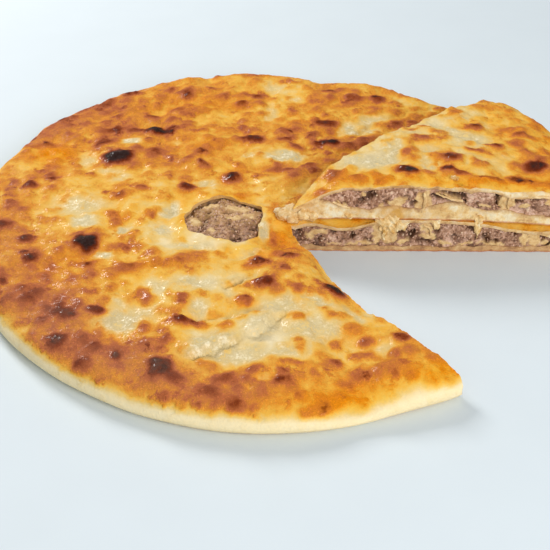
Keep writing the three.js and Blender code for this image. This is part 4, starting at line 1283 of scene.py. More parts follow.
def slice_place(distance, turn_share, spare=0.0):
    """Places at a distance from the slice's tip, from its front cut at 0 to its back cut at 1."""
    turn = back_turn(distance)
    angle = turn * turn_share + spare / np.maximum(distance, 1) * (2 * turn_share - 1)
    return SLICE_TIP[0] + distance * np.cos(angle), SLICE_TIP[1] + distance * np.sin(angle)


def slice_edge_drop(distance, x, y):
    """How much lower the slice's top is beside its cuts."""
    from_cut = np.maximum(np.minimum(*slice_cuts(x, y)), 0)
    drop = SLICE_EDGE_DROP * bell(from_cut, SLICE_EDGE_REACH)
    return drop * ease_out(distance / SLICE_TIP_TAPER)


def slice_top(x, y, sizes):
    """Height of the slice's top with all its relief."""
    distance = tip_distance(x, y)
    fine = fine_relief(x, y, SLICE_LOOK, sizes) * smooth(distance / SLICE_TIP_TAPER + PRESSED_START)
    top = slice_floor(x, y) + slice_thickness(distance, x, y)
    return top + fine - slice_edge_drop(distance, x, y)


def rim_reach(rise):
    """Share of the slice's length that its rounded end reaches at a share of its height."""
    low = np.clip(1 - rise / RIM_BELLY, 0, 1)
    high = np.clip((rise - RIM_BELLY) / (1 - RIM_BELLY), 0, 1)
    foot = 1 - SLICE_FOOT + SLICE_FOOT * np.sqrt(1 - low**2)
    shoulder = 1 - RIM_ROUND + RIM_ROUND * np.sqrt(1 - high**2)
    return np.where(rise < RIM_BELLY, foot, shoulder)


def rim_rises(tall):
    """Shares of height that follow the rounded rim evenly."""
    lower = tall // 3
    foot = RIM_BELLY * (1 - np.cos(np.linspace(0, math.pi / 2, lower + 1)))
    shoulder = RIM_BELLY + (1 - RIM_BELLY) * np.sin(np.linspace(0, math.pi / 2, tall - lower + 1))
    return np.concatenate([foot, shoulder[1:]])


def build_slice_crust(sizes, material):
    """The dough of the slice, open at both cuts where the filling shows."""
    i, j, k, faces, sides = box_shell(SLICE_LONG, SLICE_WIDE, SLICE_TALL)
    rise = rim_rises(SLICE_TALL)[k.astype(int)]
    distance = SLICE_BLUNT + (SLICE_LENGTH * rim_reach(rise) - SLICE_BLUNT) * i / SLICE_LONG
    x, y = slice_place(distance, j / SLICE_WIDE)
    low = slice_floor(x, y)
    z = low + rise * (slice_top(x, y, sizes) - low)
    torn = dough_wall(sizes)(x + y, z) * ((j == 0) | (j == SLICE_WIDE)) * (i < SLICE_LONG)
    turn = back_turn(distance)
    x = x + torn * np.where(j == 0, 0, np.sin(turn))
    y = y + torn * np.where(j == 0, 1, -np.cos(turn))
    crust = new_object("slice_dough", np.stack([x, y, z], -1), faces)
    set_values(crust.data, "crumb", np.isin(sides, ("front", "back", "near")), "FACE")
    hollow = slice_hollow(sizes)
    mark_faces(hollow, "crumb", 1)
    cut(crust, hollow)

    def height(x, y):
        low = slice_floor(x, y)
        return low, low + slice_thickness(tip_distance(x, y), x, y)

    def juice(x, y, z):
        distance = tip_distance(x, y)
        low, high = slice_layer(distance, x, y, sizes)
        away = np.minimum(np.abs(z - low), np.abs(z - high))
        return SLICE_JUICE * bell(away, SLICE_JUICE_REACH) * (distance > SLICE_FILLING_START)

    paint_crust(crust, SLICE_LOOK, height, juice, sizes)
    finish_piece(crust, material, DOUGH_SLOT, "slice_crust")


def slice_layer(distance, x, y, sizes):
    """Lowest and highest point of the slice's filling, with their ragged edges."""
    floor = slice_floor(x, y)
    places, heights = zip(*SLICE_DOUGH_LINE)
    low = floor + np.interp(SLICE_TIP[0] + distance, places, heights)
    low = low + LAYER_LOW * layered_noise(x, y, LAYER_LOW_SIZE, sizes.seed + LAYER_SEED)
    places, thicknesses = zip(*SLICE_CRUST_LINE)
    thin = np.interp(SLICE_TIP[0] + distance, places, thicknesses)
    high = floor + slice_thickness(distance, x, y) - thin - slice_edge_drop(distance, x, y)
    high = high + LAYER_HIGH * noise(x, y, LAYER_HIGH_SIZE, sizes.seed + LAYER_SEED + 1)
    for dx, dy in NEIGHBOURS:
        high = np.minimum(high, slice_top(x + dx, y + dy, sizes) - THINNEST_DOUGH)
    return np.minimum(low, high - LAYER_LEAST), high


def slice_block(long, wide, tall, spare, margin, sizes):
    """A block of the slice's filling, grown by a margin above and below and past both cuts by the spare."""
    i, j, k, faces, sides = box_shell(long, wide, tall)
    reach = SLICE_LENGTH - RIM_DOUGH + margin
    start = SLICE_FILLING_START - margin
    distance = start + (reach - start) * i / long
    x, y = slice_place(distance, j / wide, spare)
    low, high = slice_layer(distance, x, y, sizes)
    z = low - margin + (high - low + 2 * margin) * k / tall
    return j, k, x, y, z, faces, sides


def slice_hollow(sizes):
    """The room for the filling inside the slice."""
    cells_each_way = (SLICE_ROOM_LONG, SLICE_ROOM_WIDE, SLICE_ROOM_TALL)
    *_, x, y, z, faces, _ = slice_block(*cells_each_way, SLICE_ROOM_SPARE, -BEDDED, sizes)
    return new_object("hollow", np.stack([x, y, z], -1), faces)


# The minced filling


def mince(u, v, sizes, seed):
    """Depth of the crumbly face of mince, its painted shade in the gaps, and each grain's own tone."""
    lump, grain = sizes.mince_lump / MM, sizes.mince_grain / MM
    bent_u = u + MINCE_BEND * noise(u, v, MINCE_BEND_SIZE, seed)
    bent_v = v + MINCE_BEND * noise(u, v, MINCE_BEND_SIZE, seed + 1)
    lump_near, lump_tone = cells(bent_u, bent_v * LUMP_FLAT, lump, seed + 2)
    grain_near, grain_tone = cells(bent_u, bent_v, grain, seed + 3)
    crumb_near, crumb_tone = cells(u, v, grain / 2, seed + 4)
    valley = smooth((lump_near - VALLEY_START) / VALLEY_SPAN)
    depth = VALLEY_DEPTH * valley + lump_tone - LUMP_MEAN + grain_near + CRUMB_DEPTH * crumb_near
    # Painted shade in the valleys between lumps and in the cracks between grains
    gap = VALLEY_SHADE * valley * (lump_tone > VALLEY_CHOSEN)
    gap = gap + CRACK_SHADE * smooth((grain_near - CRACK_START) / CRACK_SPAN)
    tone = sum(share * part for share, part in zip(TONE_SHARES, (lump_tone, grain_tone, crumb_tone)))
    return depth, np.clip(gap, 0, 1), tone


def face_bend(u, v, seed):
    """A random shift on a face of mince."""
    return sum(amount * noise(u, v, size, seed + offset) for amount, size, offset in FACE_BENDS)


def mince_face(u, v, pits, onions, sizes, seed):
    """Depth of a face of mince, its painted shade in the gaps and hollows, its tone, and how much of each
    place is onion.
    """
    depth, gap, tone = mince(u, v, sizes, seed)
    bent_u = u + face_bend(u, v, seed)
    bent_v = v + face_bend(u, v, seed + 1)
    pit = patches(bent_u, bent_v, pits, PIT_POWER, PIT_SPREAD)
    onion = smooth((patches(bent_u, bent_v, onions, ONION_POWER) - ONION_EDGE) / ONION_BLUR)
    even = ONION_DEPTH + ONION_LUMPS * layered_noise(u, v, ONION_LUMP_SIZE, seed + ONION_SEED)
    depth = np.maximum(depth + pit, 0) * (1 - onion) + np.maximum(even, 0) * onion
    # Deeper hollows get fuller painted shade; onion gets none
    return depth, np.maximum(gap, smooth(pit / PIT_SHADE_DEPTH)) * (1 - onion), tone, onion


def mince_wall(sizes):
    """How far the pie's mince stands back behind its cuts."""

    def depth(along, z):
        face = mince_face(along, z, LOWER_PITS, LOWER_ONION, sizes, sizes.seed + LOWER_SEED)[0]
        grown = smooth((z - BOTTOM_DOUGH) / WALL_REACH)
        return CLEARANCE + face * (WALL_LEAST + (1 - WALL_LEAST) * grown)

    return depth


def filling_rings():
    """Rings of the bed of filling, from its top's middle to its floor's: x, y and share of height."""
    angle = np.linspace(0, 2 * math.pi, FILLING_SEGMENTS, endpoint=False)
    edge = filling_edge(angle)
    reaches = VENT_REACH * np.linspace(0, VENT_RING_REACH, VENT_RINGS)[1:]
    shares = [np.minimum(reach / edge, 1) for reach in reaches]
    start = shares[-1]
    shares.extend(start + (1 - start) * step for step in np.linspace(0, 1, OUTER_RINGS)[1:])
    middle = np.array([VENT_X]), np.array([VENT_Y])
    sections = [(share, 1) for share in shares]
    sections.append((1.0, 0.5))
    sections.extend((share, 0.0) for share in np.linspace(FLOOR_EDGE, FLOOR_MIDDLE, HOLLOW_RINGS))
    rings = [(*middle, 1)]
    for share, rise in sections:
        rings.append((VENT_X + share * edge * np.cos(angle), VENT_Y + share * edge * np.sin(angle), rise))
    return [*rings, (*middle, 0)]


def filling_edge(angle):
    """Distance from the vent's middle to the filling's edge, by walking out in each direction."""
    low, high = np.zeros_like(angle), np.full_like(angle, 2 * RADIUS)
    for _ in range(EDGE_STEPS):
        middle = (low + high) / 2
        x, y = VENT_X + middle * np.cos(angle), VENT_Y + middle * np.sin(angle)
        inside = np.hypot(x, y) < outline(np.arctan2(y, x)) - RIM_DOUGH
        low = np.where(inside, middle, low)
        high = np.where(inside, high, middle)
    return low


def hidden_share(x, y):
    """How far a place of the filling is out of sight, away from the vent and the cuts."""
    behind_cut = np.where(x > 0, np.maximum(y - back_cut_line(x), 0), RADIUS)
    from_cut = np.minimum(front_cut_distance(x, y), behind_cut)
    at_vent = smooth((from_vent_edge(x, y) - HIDDEN_START) / HIDDEN_AT_VENT)
    return at_vent * smooth((from_cut - HIDDEN_START) / HIDDEN_AT_CUT)


def ring_faces(count, rings):
    """Faces of a closed body made of a point, rings of points and a last point."""
    faces = [(0, 1 + n, 1 + (n + 1) % count) for n in range(count)]
    for ring in range(rings - 1):
        first = 1 + ring * count
        for n in range(count):
            after = (n + 1) % count
            faces.append((first + n, first + count + n, first + count + after, first + after))
    last = 1 + (rings - 1) * count
    faces.extend((last + count, last + (n + 1) % count, last + n) for n in range(count))
    return faces


def build_pie_filling(sizes, material):
    """The pie's filling, crumbly at the gap's two cuts and in the vent."""
    rings = filling_rings()
    places = []
    for x, y, rise in rings:
        in_vent = smooth((VENT_SPARE - from_vent_edge(x, y)) / VENT_BLUR)
        lumps = VENT_LUMPS - mince_face(x, y, VENT_PITS, VENT_ONION, sizes, sizes.seed + VENT_SEED)[0]
        high = filling_ceiling(x, y, sizes) + lumps * in_vent - HIDDEN_SUNK * hidden_share(x, y)
        low = room_floor(x, y, sizes)
        places.append(np.stack([x, y, low + rise * (high - low)], -1))
    faces = ring_faces(FILLING_SEGMENTS, len(rings) - 2)
    filling = new_object("pie_mince", np.concatenate(places), faces)
    x, y, z = np.array([face.center for face in filling.data.polygons]).T / MM
    in_vent = (from_vent_edge(x, y) < VENT_SPARE) & (z > BOTTOM_DOUGH + VENT_SHOWN)
    set_values(filling.data, "open", in_vent, "FACE")
    levels = cut_levels(MINCE_CUT_LOW, MINCE_CUT_HIGH, MINCE_TALL)
    cutter = gap_cutter(MINCE_LONG, MINCE_TALL, levels, mince_wall(sizes))
    mark_faces(cutter, "open", 1)
    cut(filling, cutter)
    paint_pie_filling(filling, sizes)
    finish_piece(filling, material, FILLING_SLOT, "pie_filling")
    return filling


def paint_pie_filling(filling, sizes):
    """Stores the tone of the mince on the filling's open faces."""
    mesh = filling.data
    x, y, z = places_of(mesh).T
    in_vent = np.hypot(x - VENT_X, y - VENT_Y) < VENT_REACH * VENT_PAINT
    vent = mince_face(x, y, VENT_PITS, VENT_ONION, sizes, sizes.seed + VENT_SEED)
    wall = mince_face(x, z, LOWER_PITS, LOWER_ONION, sizes, sizes.seed + LOWER_SEED)
    # The gap values are painted shade in the mince's gaps and hollows
    for name, in_hole, at_cut in zip(("gap", "tone", "onion"), vent[1:], wall[1:]):
        darker = PIE_MINCE_DARKER if name == "tone" else 0.0
        set_values(mesh, name, np.where(in_vent, in_hole, at_cut) - darker)
    fat = FAT_FRONT + FAT_BACK * smooth((y - VENT_Y) / FAT_SPAN + FAT_START)
    set_values(mesh, "fat", in_vent * fat)


def build_slice_filling(sizes, material):
    """The slice's filling, crumbly at both cuts."""
    block = slice_block(MINCE_LONG, MINCE_WIDE, MINCE_TALL, -CLEARANCE, 0.0, sizes)
    j, k, x, y, z, faces, sides = block
    seed = sizes.seed + UPPER_SEED
    depth, gap, tone, onion = mince_face(x, z, UPPER_PITS, UPPER_ONION, sizes, seed)
    distance = tip_distance(x, y)
    turn = back_turn(distance)
    front, back = j == 0, j == MINCE_WIDE
    z = z - HIDDEN_SUNK * np.sin(math.pi * j / MINCE_WIDE) * k / MINCE_TALL
    grown = smooth(np.minimum(k, MINCE_TALL - k) / LAYER_EDGE_ROWS)
    depth = depth * (LAYER_EDGE + (1 - LAYER_EDGE) * grown)
    room = np.minimum(depth, DEEPEST_SHARE * distance * np.sin(turn))
    x = x + room * back * np.sin(turn)
    y = y + room * front - room * back * np.cos(turn)
    filling = new_object("slice_mince", np.stack([x, y, z], -1), faces)
    set_values(filling.data, "open", np.isin(sides, ("front", "back")), "FACE")
    # The gap values are painted shade in the mince's gaps and hollows
    for name, values in (("gap", gap), ("tone", tone), ("onion", onion), ("fat", np.zeros(len(x)))):
        set_values(filling.data, name, values)
    finish_piece(filling, material, FILLING_SLOT, "slice_filling")
    return filling


# Strips, grains and crumbs


def fibre_places():
    """Every fibre's half width and its places."""
    for width, *route in FIBRES:
        yield width, [(x, SLICE_TIP[1] - out, z) for x, out, z in route]


def routes_object(name, strips):
    """The middle lines of strips as one object of edges, with the half width at each point."""
    points = []
    edges = []
    widths = []
    for width, route in strips:
        first = len(points)
        points.extend(route)
        edges.extend((n, n + 1) for n in range(first, len(points) - 1))
        widths.extend([STRIP_END * width, *[width] * (len(route) - 2), STRIP_END * width])
    thing = new_object(name, points, (), edges)
    set_values(thing.data, "half_width", np.array(widths) * MM)
    return thing


def tears_object(name, sizes):
    """Thin ragged sheets of torn dough over the cuts, as one object."""
    points = []
    faces = []
    i, j, k, shell, _ = box_shell(TEAR_LONG, 1, TEAR_TALL)
    across = 2 * i / TEAR_LONG - 1
    down = 1 - k / TEAR_TALL
    for n, (middle, half, top, drop, out) in enumerate(DOUGH_TEARS):
        seed = sizes.seed + TEAR_SEED + TEAR_SEED_STEP * n
        side = half * across
        fringe = layered_noise(middle + side, np.zeros_like(side), FRINGE_SIZE, seed, 2)
        fall = drop * (1 - FRINGE_ROUND * across**2) * (FRINGE_LEAST + FRINGE_SPAN * fringe)
        z = top + TEAR_RAGGED * noise(side, down, TEAR_RAGGED_SIZE, seed + 1) - fall * down
        x = middle + side + TEAR_BEND * layered_noise(side, z, TEAR_BEND_SIZE, seed + 2)
        slant = TEAR_SLANT * z
        ridge = TEAR_RIDGE * (1 - TEAR_SLOPE * np.abs(noise(x + slant, slant, TEAR_RIDGE_SIZE, seed + 3)))
        ridge = ridge + TEAR_LUMPS * layered_noise(x, z, TEAR_LUMP_SIZE, seed + 4)
        arch = np.sin(math.pi * (TEAR_TUCK + (1 - 2 * TEAR_TUCK) * down))
        stand = (out * arch + ridge) * (1 - across**4) - TEAR_SUNK
        y = SLICE_TIP[1] + np.where(j == 0, -stand, TEAR_DEPTH)
        faces.extend([len(points) + corner for corner in face] for face in shell)
        points.extend(np.stack([x, y, z], -1))
    return new_object(name, points, faces)


def crumbs_object(name):
    """The middles of the torn bits as points, with the half sizes of each."""
    bits = np.array(TORN_CRUMBS)
    thing = new_object(name, bits[:, :3], ())
    half_sizes = thing.data.attributes.new("half_sizes", "FLOAT_VECTOR", "POINT")
    half_sizes.data.foreach_set("vector", (bits[:, [3, 3, 4]] * MM).ravel())
    return thing


def open_faces_object(name, fillings):
    """The faces of the fillings that show, as one object."""
    points = []
    faces = []
    for filling in fillings:
        mesh = filling.data
        shown = get_values(mesh, "open", len(mesh.polygons))
        onion = get_values(mesh, "onion", len(mesh.vertices))
        corner = np.array([face.vertices[0] for face in mesh.polygons])
        first = len(points)
        points.extend(places_of(mesh))
        for i in np.flatnonzero((shown > 0.5) & (onion[corner] < ONION_BARE)):
            faces.append([first + n for n in mesh.polygons[i].vertices])
    return new_object(name, points, faces)


def new_tree(name, kind, inputs, outputs):
    """An empty node group with named sockets, each a name and a type."""
    tree = bpy.data.node_groups.new(name, kind)
    for socket, socket_type in inputs:
        tree.interface.new_socket(socket, in_out="INPUT", socket_type=socket_type)
    for socket, socket_type in outputs:
        tree.interface.new_socket(socket, in_out="OUTPUT", socket_type=socket_type)
    return tree, tree.nodes.new("NodeGroupInput").outputs, tree.nodes.new("NodeGroupOutput")


def shape_tree(name, sizes, seeds=()):
    """An empty geometry tree with named sizes and seeds."""
    shape = [("Geometry", "NodeSocketGeometry")]
    numbers = [(size, "NodeSocketFloat") for size in sizes]
    numbers.extend((seed, "NodeSocketInt") for seed in seeds)
    return new_tree(name, "GeometryNodeTree", [*shape, *numbers], shape)


def roughened(tree, shape, size, amount):
    """Pushes a shape's points about by noise."""
    where = result(tree, "GeometryNodeInputPosition")
    drift = noise_colour(tree, where, size)
    drift = result(tree, "ShaderNodeVectorMath", {0: drift, 1: (0.5, 0.5, 0.5)}, operation="SUBTRACT")
    drift = result(tree, "ShaderNodeVectorMath", {0: drift, "Scale": amount}, operation="SCALE")
    return result(tree, "GeometryNodeSetPosition", {"Geometry": shape, "Offset": drift})


def close_tree(tree, out, shape, material):
    """Ends a tree with smooth, real, painted geometry."""
    shape = result(tree, "GeometryNodeSetShadeSmooth", {"Geometry": shape})
    shape = result(tree, "GeometryNodeRealizeInstances", {"Geometry": shape})
    shape = result(tree, "GeometryNodeSetMaterial", {"Geometry": shape, "Material": material})
    tree.links.new(shape, out.inputs[0])
    return tree


def placed(tree, points, ball, **values):
    """A ball at each point, made real."""
    shape = result(tree, "GeometryNodeInstanceOnPoints", {"Points": points, "Instance": ball, **values})
    return result(tree, "GeometryNodeRealizeInstances", {"Geometry": shape})


def strips_tree(name, material):
    """Sweeps a flat rounded section along each line."""
    tree, entry, out = shape_tree(name, ("Thickness", "Step", "Ripple", "Fray"))
    line = result(tree, "GeometryNodeMeshToCurve", {"Mesh": entry["Geometry"]})
    line = result(tree, "GeometryNodeCurveSplineType", {"Curve": line}, spline_type="CATMULL_ROM")
    line = result(tree, "GeometryNodeResampleCurve", {"Curve": line, "Length": entry["Step"]}, mode="LENGTH")
    line = result(tree, "GeometryNodeSetCurveNormal", {"Curve": line, "Normal": STRIP_FACING}, mode="FREE")
    width = result(tree, "GeometryNodeInputNamedAttribute", {"Name": "half_width"}, data_type="FLOAT")
    ring = result(tree, "GeometryNodeCurvePrimitiveCircle", {"Resolution": STRIP_SIDES, "Radius": 1.0})
    flat = result(tree, "ShaderNodeCombineXYZ", {"X": entry["Thickness"], "Y": 1.0, "Z": 1.0})
    ring = result(tree, "GeometryNodeTransform", {"Geometry": ring, "Scale": flat})
    swept = {"Curve": line, "Profile Curve": ring, "Scale": width, "Fill Caps": True}
    shape = result(tree, "GeometryNodeCurveToMesh", swept)
    shape = roughened(tree, shape, RIPPLE_SCALE, entry["Ripple"])
    return close_tree(tree, out, roughened(tree, shape, FRAY_SCALE, entry["Fray"]), material)


def random_value(tree, kind, low, high, seed):
    """A random number or vector for each point."""
    node = add_node(tree, "FunctionNodeRandomValue", {"Seed": seed}, data_type=kind)
    first = 0 if kind == "FLOAT_VECTOR" else 2
    fill(tree, node, {first: low, first + 1: high})
    return node.outputs[0 if kind == "FLOAT_VECTOR" else 1]


def grains_tree(name, material):
    """Scatters small uneven grains over a surface."""
    tree, entry, out = shape_tree(name, ("Radius", "Spacing", "Density"), ("Seed",))
    spread = {"Mesh": entry["Geometry"], "Distance Min": entry["Spacing"], "Density Max": entry["Density"]}
    spread["Seed"] = entry["Seed"]
    points = result(tree, "GeometryNodeDistributePointsOnFaces", spread, distribute_method="POISSON")
    ball = result(tree, "GeometryNodeMeshIcoSphere", {"Radius": entry["Radius"], "Subdivisions": 1})
    turn = random_value(tree, "FLOAT_VECTOR", (0.0, 0.0, 0.0), GRAIN_TURN, entry["Seed"])
    size = random_value(tree, "FLOAT_VECTOR", *GRAIN_SIZES, GRAIN_SIZE_SEED)
    tone = random_value(tree, "FLOAT", *GRAIN_TONES, GRAIN_TONE_SEED)
    stored = {"Geometry": points, "Name": "tone", "Value": tone}
    points = result(tree, "GeometryNodeStoreNamedAttribute", stored, data_type="FLOAT", domain="POINT")
    shape = placed(tree, points, ball, Rotation=turn, Scale=size)
    return close_tree(tree, out, roughened(tree, shape, GRAIN_SCALE, GRAIN_ROUGH), material)


def crumbs_tree(name, material):
    """Puts an uneven lump at each point, as large as its stored half sizes."""
    tree, entry, out = shape_tree(name, ("Lumps", "Grain"))
    ball = result(tree, "GeometryNodeMeshIcoSphere", {"Radius": 1.0, "Subdivisions": 4})
    size = result(tree, "GeometryNodeInputNamedAttribute", {"Name": "half_sizes"}, data_type="FLOAT_VECTOR")
    points = result(tree, "GeometryNodeMeshToPoints", {"Mesh": entry["Geometry"]})
    shape = roughened(tree, placed(tree, points, ball, Scale=size), CRUMB_SCALE, entry["Lumps"])
    return close_tree(tree, out, roughened(tree, shape, CRUMB_GRAIN_SCALE, entry["Grain"]), material)


def grow(thing, tree, values):
    """Runs a tree on an object and keeps the result as its plain mesh."""
    modifier = thing.modifiers.new(tree.name, "NODES")
    modifier.node_group = tree
    for item in tree.interface.items_tree:
        if item.in_out == "INPUT" and item.name in values:
            modifier[item.identifier] = values[item.name]
    settle(thing)


# Node helpers


class Value:
    """A number that a shader computes. Adding, subtracting and multiplying make the nodes for it."""

    def __init__(self, tree, socket):
        self.tree = tree
        self.socket = socket

    def math(self, operation, other):
        """A math node's result for this number and another."""
        node = add_node(self.tree, "ShaderNodeMath", {0: self, 1: other}, operation=operation)
        return Value(self.tree, node.outputs[0])

    def __add__(self, other):
        return self.math("ADD", other)

    def __sub__(self, other):
        return self.math("SUBTRACT", other)

    def __mul__(self, other):
        return self.math("MULTIPLY", other)

    def between(self, low, high, out_low=0.0, out_high=1.0):
        """This number carried from one range to another, clamped."""
        ranges = {0: self, 1: low, 2: high, 3: out_low, 4: out_high}
        return Value(self.tree, result(self.tree, "ShaderNodeMapRange", ranges))


def fill(tree, node, values):
    """Sets a node's inputs; a socket given as a value is linked."""
    for key, value in values.items():
        value = getattr(value, "socket", value)
        if isinstance(value, bpy.types.NodeSocket):
            tree.links.new(value, node.inputs[key])
        else:
            node.inputs[key].default_value = value


def add_node(tree, kind, values=None, **settings):
    """Adds a node with its settings and inputs."""
    node = tree.nodes.new(kind)
    for name, value in settings.items():
        setattr(node, name, value)
    fill(tree, node, values or {})
    return node


def result(tree, kind, values=None, **settings):
    """The first output of a new node."""
    return add_node(tree, kind, values, **settings).outputs[0]


def mix_colours(tree, share, first, second, blend="MIX"):
    """One colour laid over another."""
    node = add_node(tree, "ShaderNodeMix", data_type="RGBA", blend_type=blend)
    fill(tree, node, {0: share, 6: first, 7: second})
    return node.outputs[2]


def mix_values(tree, share, first, second):
    """One number carried over to another."""
    return Value(tree, result(tree, "ShaderNodeMix", {0: share, 2: first, 3: second}, data_type="FLOAT"))


def colour_ramp(tree, value, colours, stops):
    """A colour for each value from 0 to 1."""
    node = add_node(tree, "ShaderNodeValToRGB", {0: value})
    ramp = node.color_ramp
    while len(ramp.elements) > 1:
        ramp.elements.remove(ramp.elements[-1])
    ramp.elements[0].position = stops[0][0]
    ramp.elements[0].color = rgba(getattr(colours, stops[0][1]))
    for position, name in stops[1:]:
        ramp.elements.new(position).color = rgba(getattr(colours, name))
    return node.outputs[0]


def read_value(tree, name):
    """One of the piece's own stored numbers."""
    return Value(tree, add_node(tree, "ShaderNodeAttribute", attribute_name=name).outputs["Fac"])


def noise_value(tree, vector, scale, detail=2.0, roughness=0.5):
    """Noise of 0 to 1."""
    values = {"Vector": vector, "Scale": scale, "Detail": detail, "Roughness": roughness}
    return Value(tree, result(tree, "ShaderNodeTexNoise", values))


def noise_colour(tree, vector, scale):
    """Noise of 0 to 1 in each of three directions."""
    values = {"Vector": vector, "Scale": scale, "Detail": 2.0}
    return add_node(tree, "ShaderNodeTexNoise", values).outputs["Color"]


def speckle_group():
    """Coarse and fine speckle of about -0.5 to 0.5, round spots, small beads, and a grainy height."""
    scales = [(name, "NodeSocketFloat") for name in ("Coarse", "Fine")]
    kinds = [(name, "NodeSocketFloat") for name in SPECKLE_KINDS]
    tree, entry, out = new_tree("speckle", "ShaderNodeTree", scales, kinds)
    where = add_node(tree, "ShaderNodeTexCoord").outputs["Object"]
    coarse = noise_value(tree, where, entry["Coarse"], 5.0, 0.65)
    fine = noise_value(tree, where, entry["Fine"], 2.0, 0.6)
    drift = noise_colour(tree, where, BEND_SCALE)
    drift = result(tree, "ShaderNodeVectorMath", {0: drift, "Scale": BEND_AMOUNT}, operation="SCALE")
    bent = result(tree, "ShaderNodeVectorMath", {0: where, 1: drift}, operation="ADD")
    cell = add_node(tree, "ShaderNodeTexVoronoi", {"Vector": bent, "Scale": SPOT_SCALE}).outputs
    bead = result(tree, "ShaderNodeTexVoronoi", {"Vector": bent, "Scale": BEAD_SCALE})
    chosen = Value(tree, cell["Color"]).between(0.35, 0.8)
    spots = Value(tree, cell["Distance"]).between(0.12, 0.5, 1.0, 0.0) * chosen
    fill(tree, out, {
        "Coarse": coarse - 0.5,
        "Fine": fine - 0.5,
        "Spots": spots,
        "Beads": Value(tree, bead).between(0.0, 0.6, 1.0, 0.0),
        "Height": coarse * 0.6 + fine * 0.4 + spots * 0.25,
    })
    return tree


def speckle(tree, group, coarse, fine):
    """Places the speckle group in a material."""
    node = add_node(tree, "ShaderNodeGroup", node_tree=group)
    fill(tree, node, {"Coarse": coarse, "Fine": fine})
    return {socket.name: Value(tree, socket) for socket in node.outputs}


def new_material(name):
    """A material with an empty Principled shader."""
    material = bpy.data.materials.new(name)
    material.use_nodes = True
    tree = material.node_tree
    return material, tree, tree.nodes["Principled BSDF"]


def bumped(tree, height, strength, distance):
    """A normal bent by a height."""
    return result(tree, "ShaderNodeBump", {"Strength": strength, "Distance": distance, "Height": height})


# Materials


def thin_share(tree, spots):
    """How much of each place is thin, pale dough, with ragged edges."""
    pale = read_value(tree, "pale")
    ragged = (spots["Coarse"] * 0.8 + spots["Fine"] * 0.4) * pale.between(0.04, 0.3)
    unscorched = read_value(tree, "scorch").between(0.12, 0.42, 1.0, 0.0)
    return (pale + ragged).between(0.08, 0.9) * unscorched


def browning(tree, spots, thin):
    """How browned each place is, with its speckle, which is calmer on pale dough."""
    bake = mix_values(tree, thin, read_value(tree, "bake"), PALE_BAKE / BAKE_RANGE)
    bake = bake + read_value(tree, "scorch")
    calm = bake.between(0.05, 0.3, 0.2, 1.0)
    bake = bake + spots["Coarse"] * calm * thin.between(0.0, 1.0, 0.38, 0.3)
    bake = bake + spots["Fine"] * calm * 0.15
    return bake + spots["Spots"] * calm * thin.between(0.0, 1.0, 0.2, 0.08)


def browned_colour(tree, colours, spots, bake, thin):
    """Colour of the baked outside: browned, buttery, thin, or dull with a painted sheen."""
    coarse = spots["Coarse"]
    colour = colour_ramp(tree, bake, colours, CRUST_RAMP)
    amber = read_value(tree, "amber") * bake.between(0.85, 0.55, 0.0, 0.95)
    amber = amber * thin.between(0.0, 1.0, 1.0, 0.2)
    buttery = mix_colours(tree, bake.between(0.14, 0.4), rgba(colours.butter), rgba(colours.amber))
    colour = mix_colours(tree, amber, colour, buttery)
    whiter = read_value(tree, "pale").between(0.75, 1.15, 0.0, 0.25)
    mottled = colour_ramp(tree, spots["Fine"] * 0.8 + coarse * 1.9 + whiter + 0.48, colours, THIN_RAMP)
    colour = mix_colours(tree, thin * bake.between(0.34, 0.16) * 0.85, colour, mottled)
    # Painted sheen: a pinkish grey laid over the dull browned patches
    bloom_and_painted_sheen = read_value(tree, "bloom_and_painted_sheen") * coarse.between(-0.3, 0.3, 0.1, 0.7)
    return mix_colours(tree, bloom_and_painted_sheen * 0.6, colour, rgba(colours.bloom))


def crumb_colour(tree, colours, spots):
    """Colour of cut dough: stained by butter, soaked by juice and at the vent partly darkened as painted
    shade, toasted at its base.
    """
    coarse = spots["Coarse"]
    colour = colour_ramp(tree, coarse + 0.5, colours, CRUMB_RAMP)
    stain = (coarse * 0.8 + read_value(tree, "stain")).between(0.1, 0.9) * 0.8
    colour = mix_colours(tree, stain, colour, rgba(colours.stained))
    juicy = colour_ramp(tree, coarse * 1.4 + 0.5, colours, JUICE_RAMP)
    colour = mix_colours(tree, read_value(tree, "soak_and_shade") * 0.92, colour, juicy)
    toasted = read_value(tree, "rise").between(0.01, 0.05, 1.0, 0.0)
    return mix_colours(tree, toasted * 0.75, colour, rgba(colours.toffee))


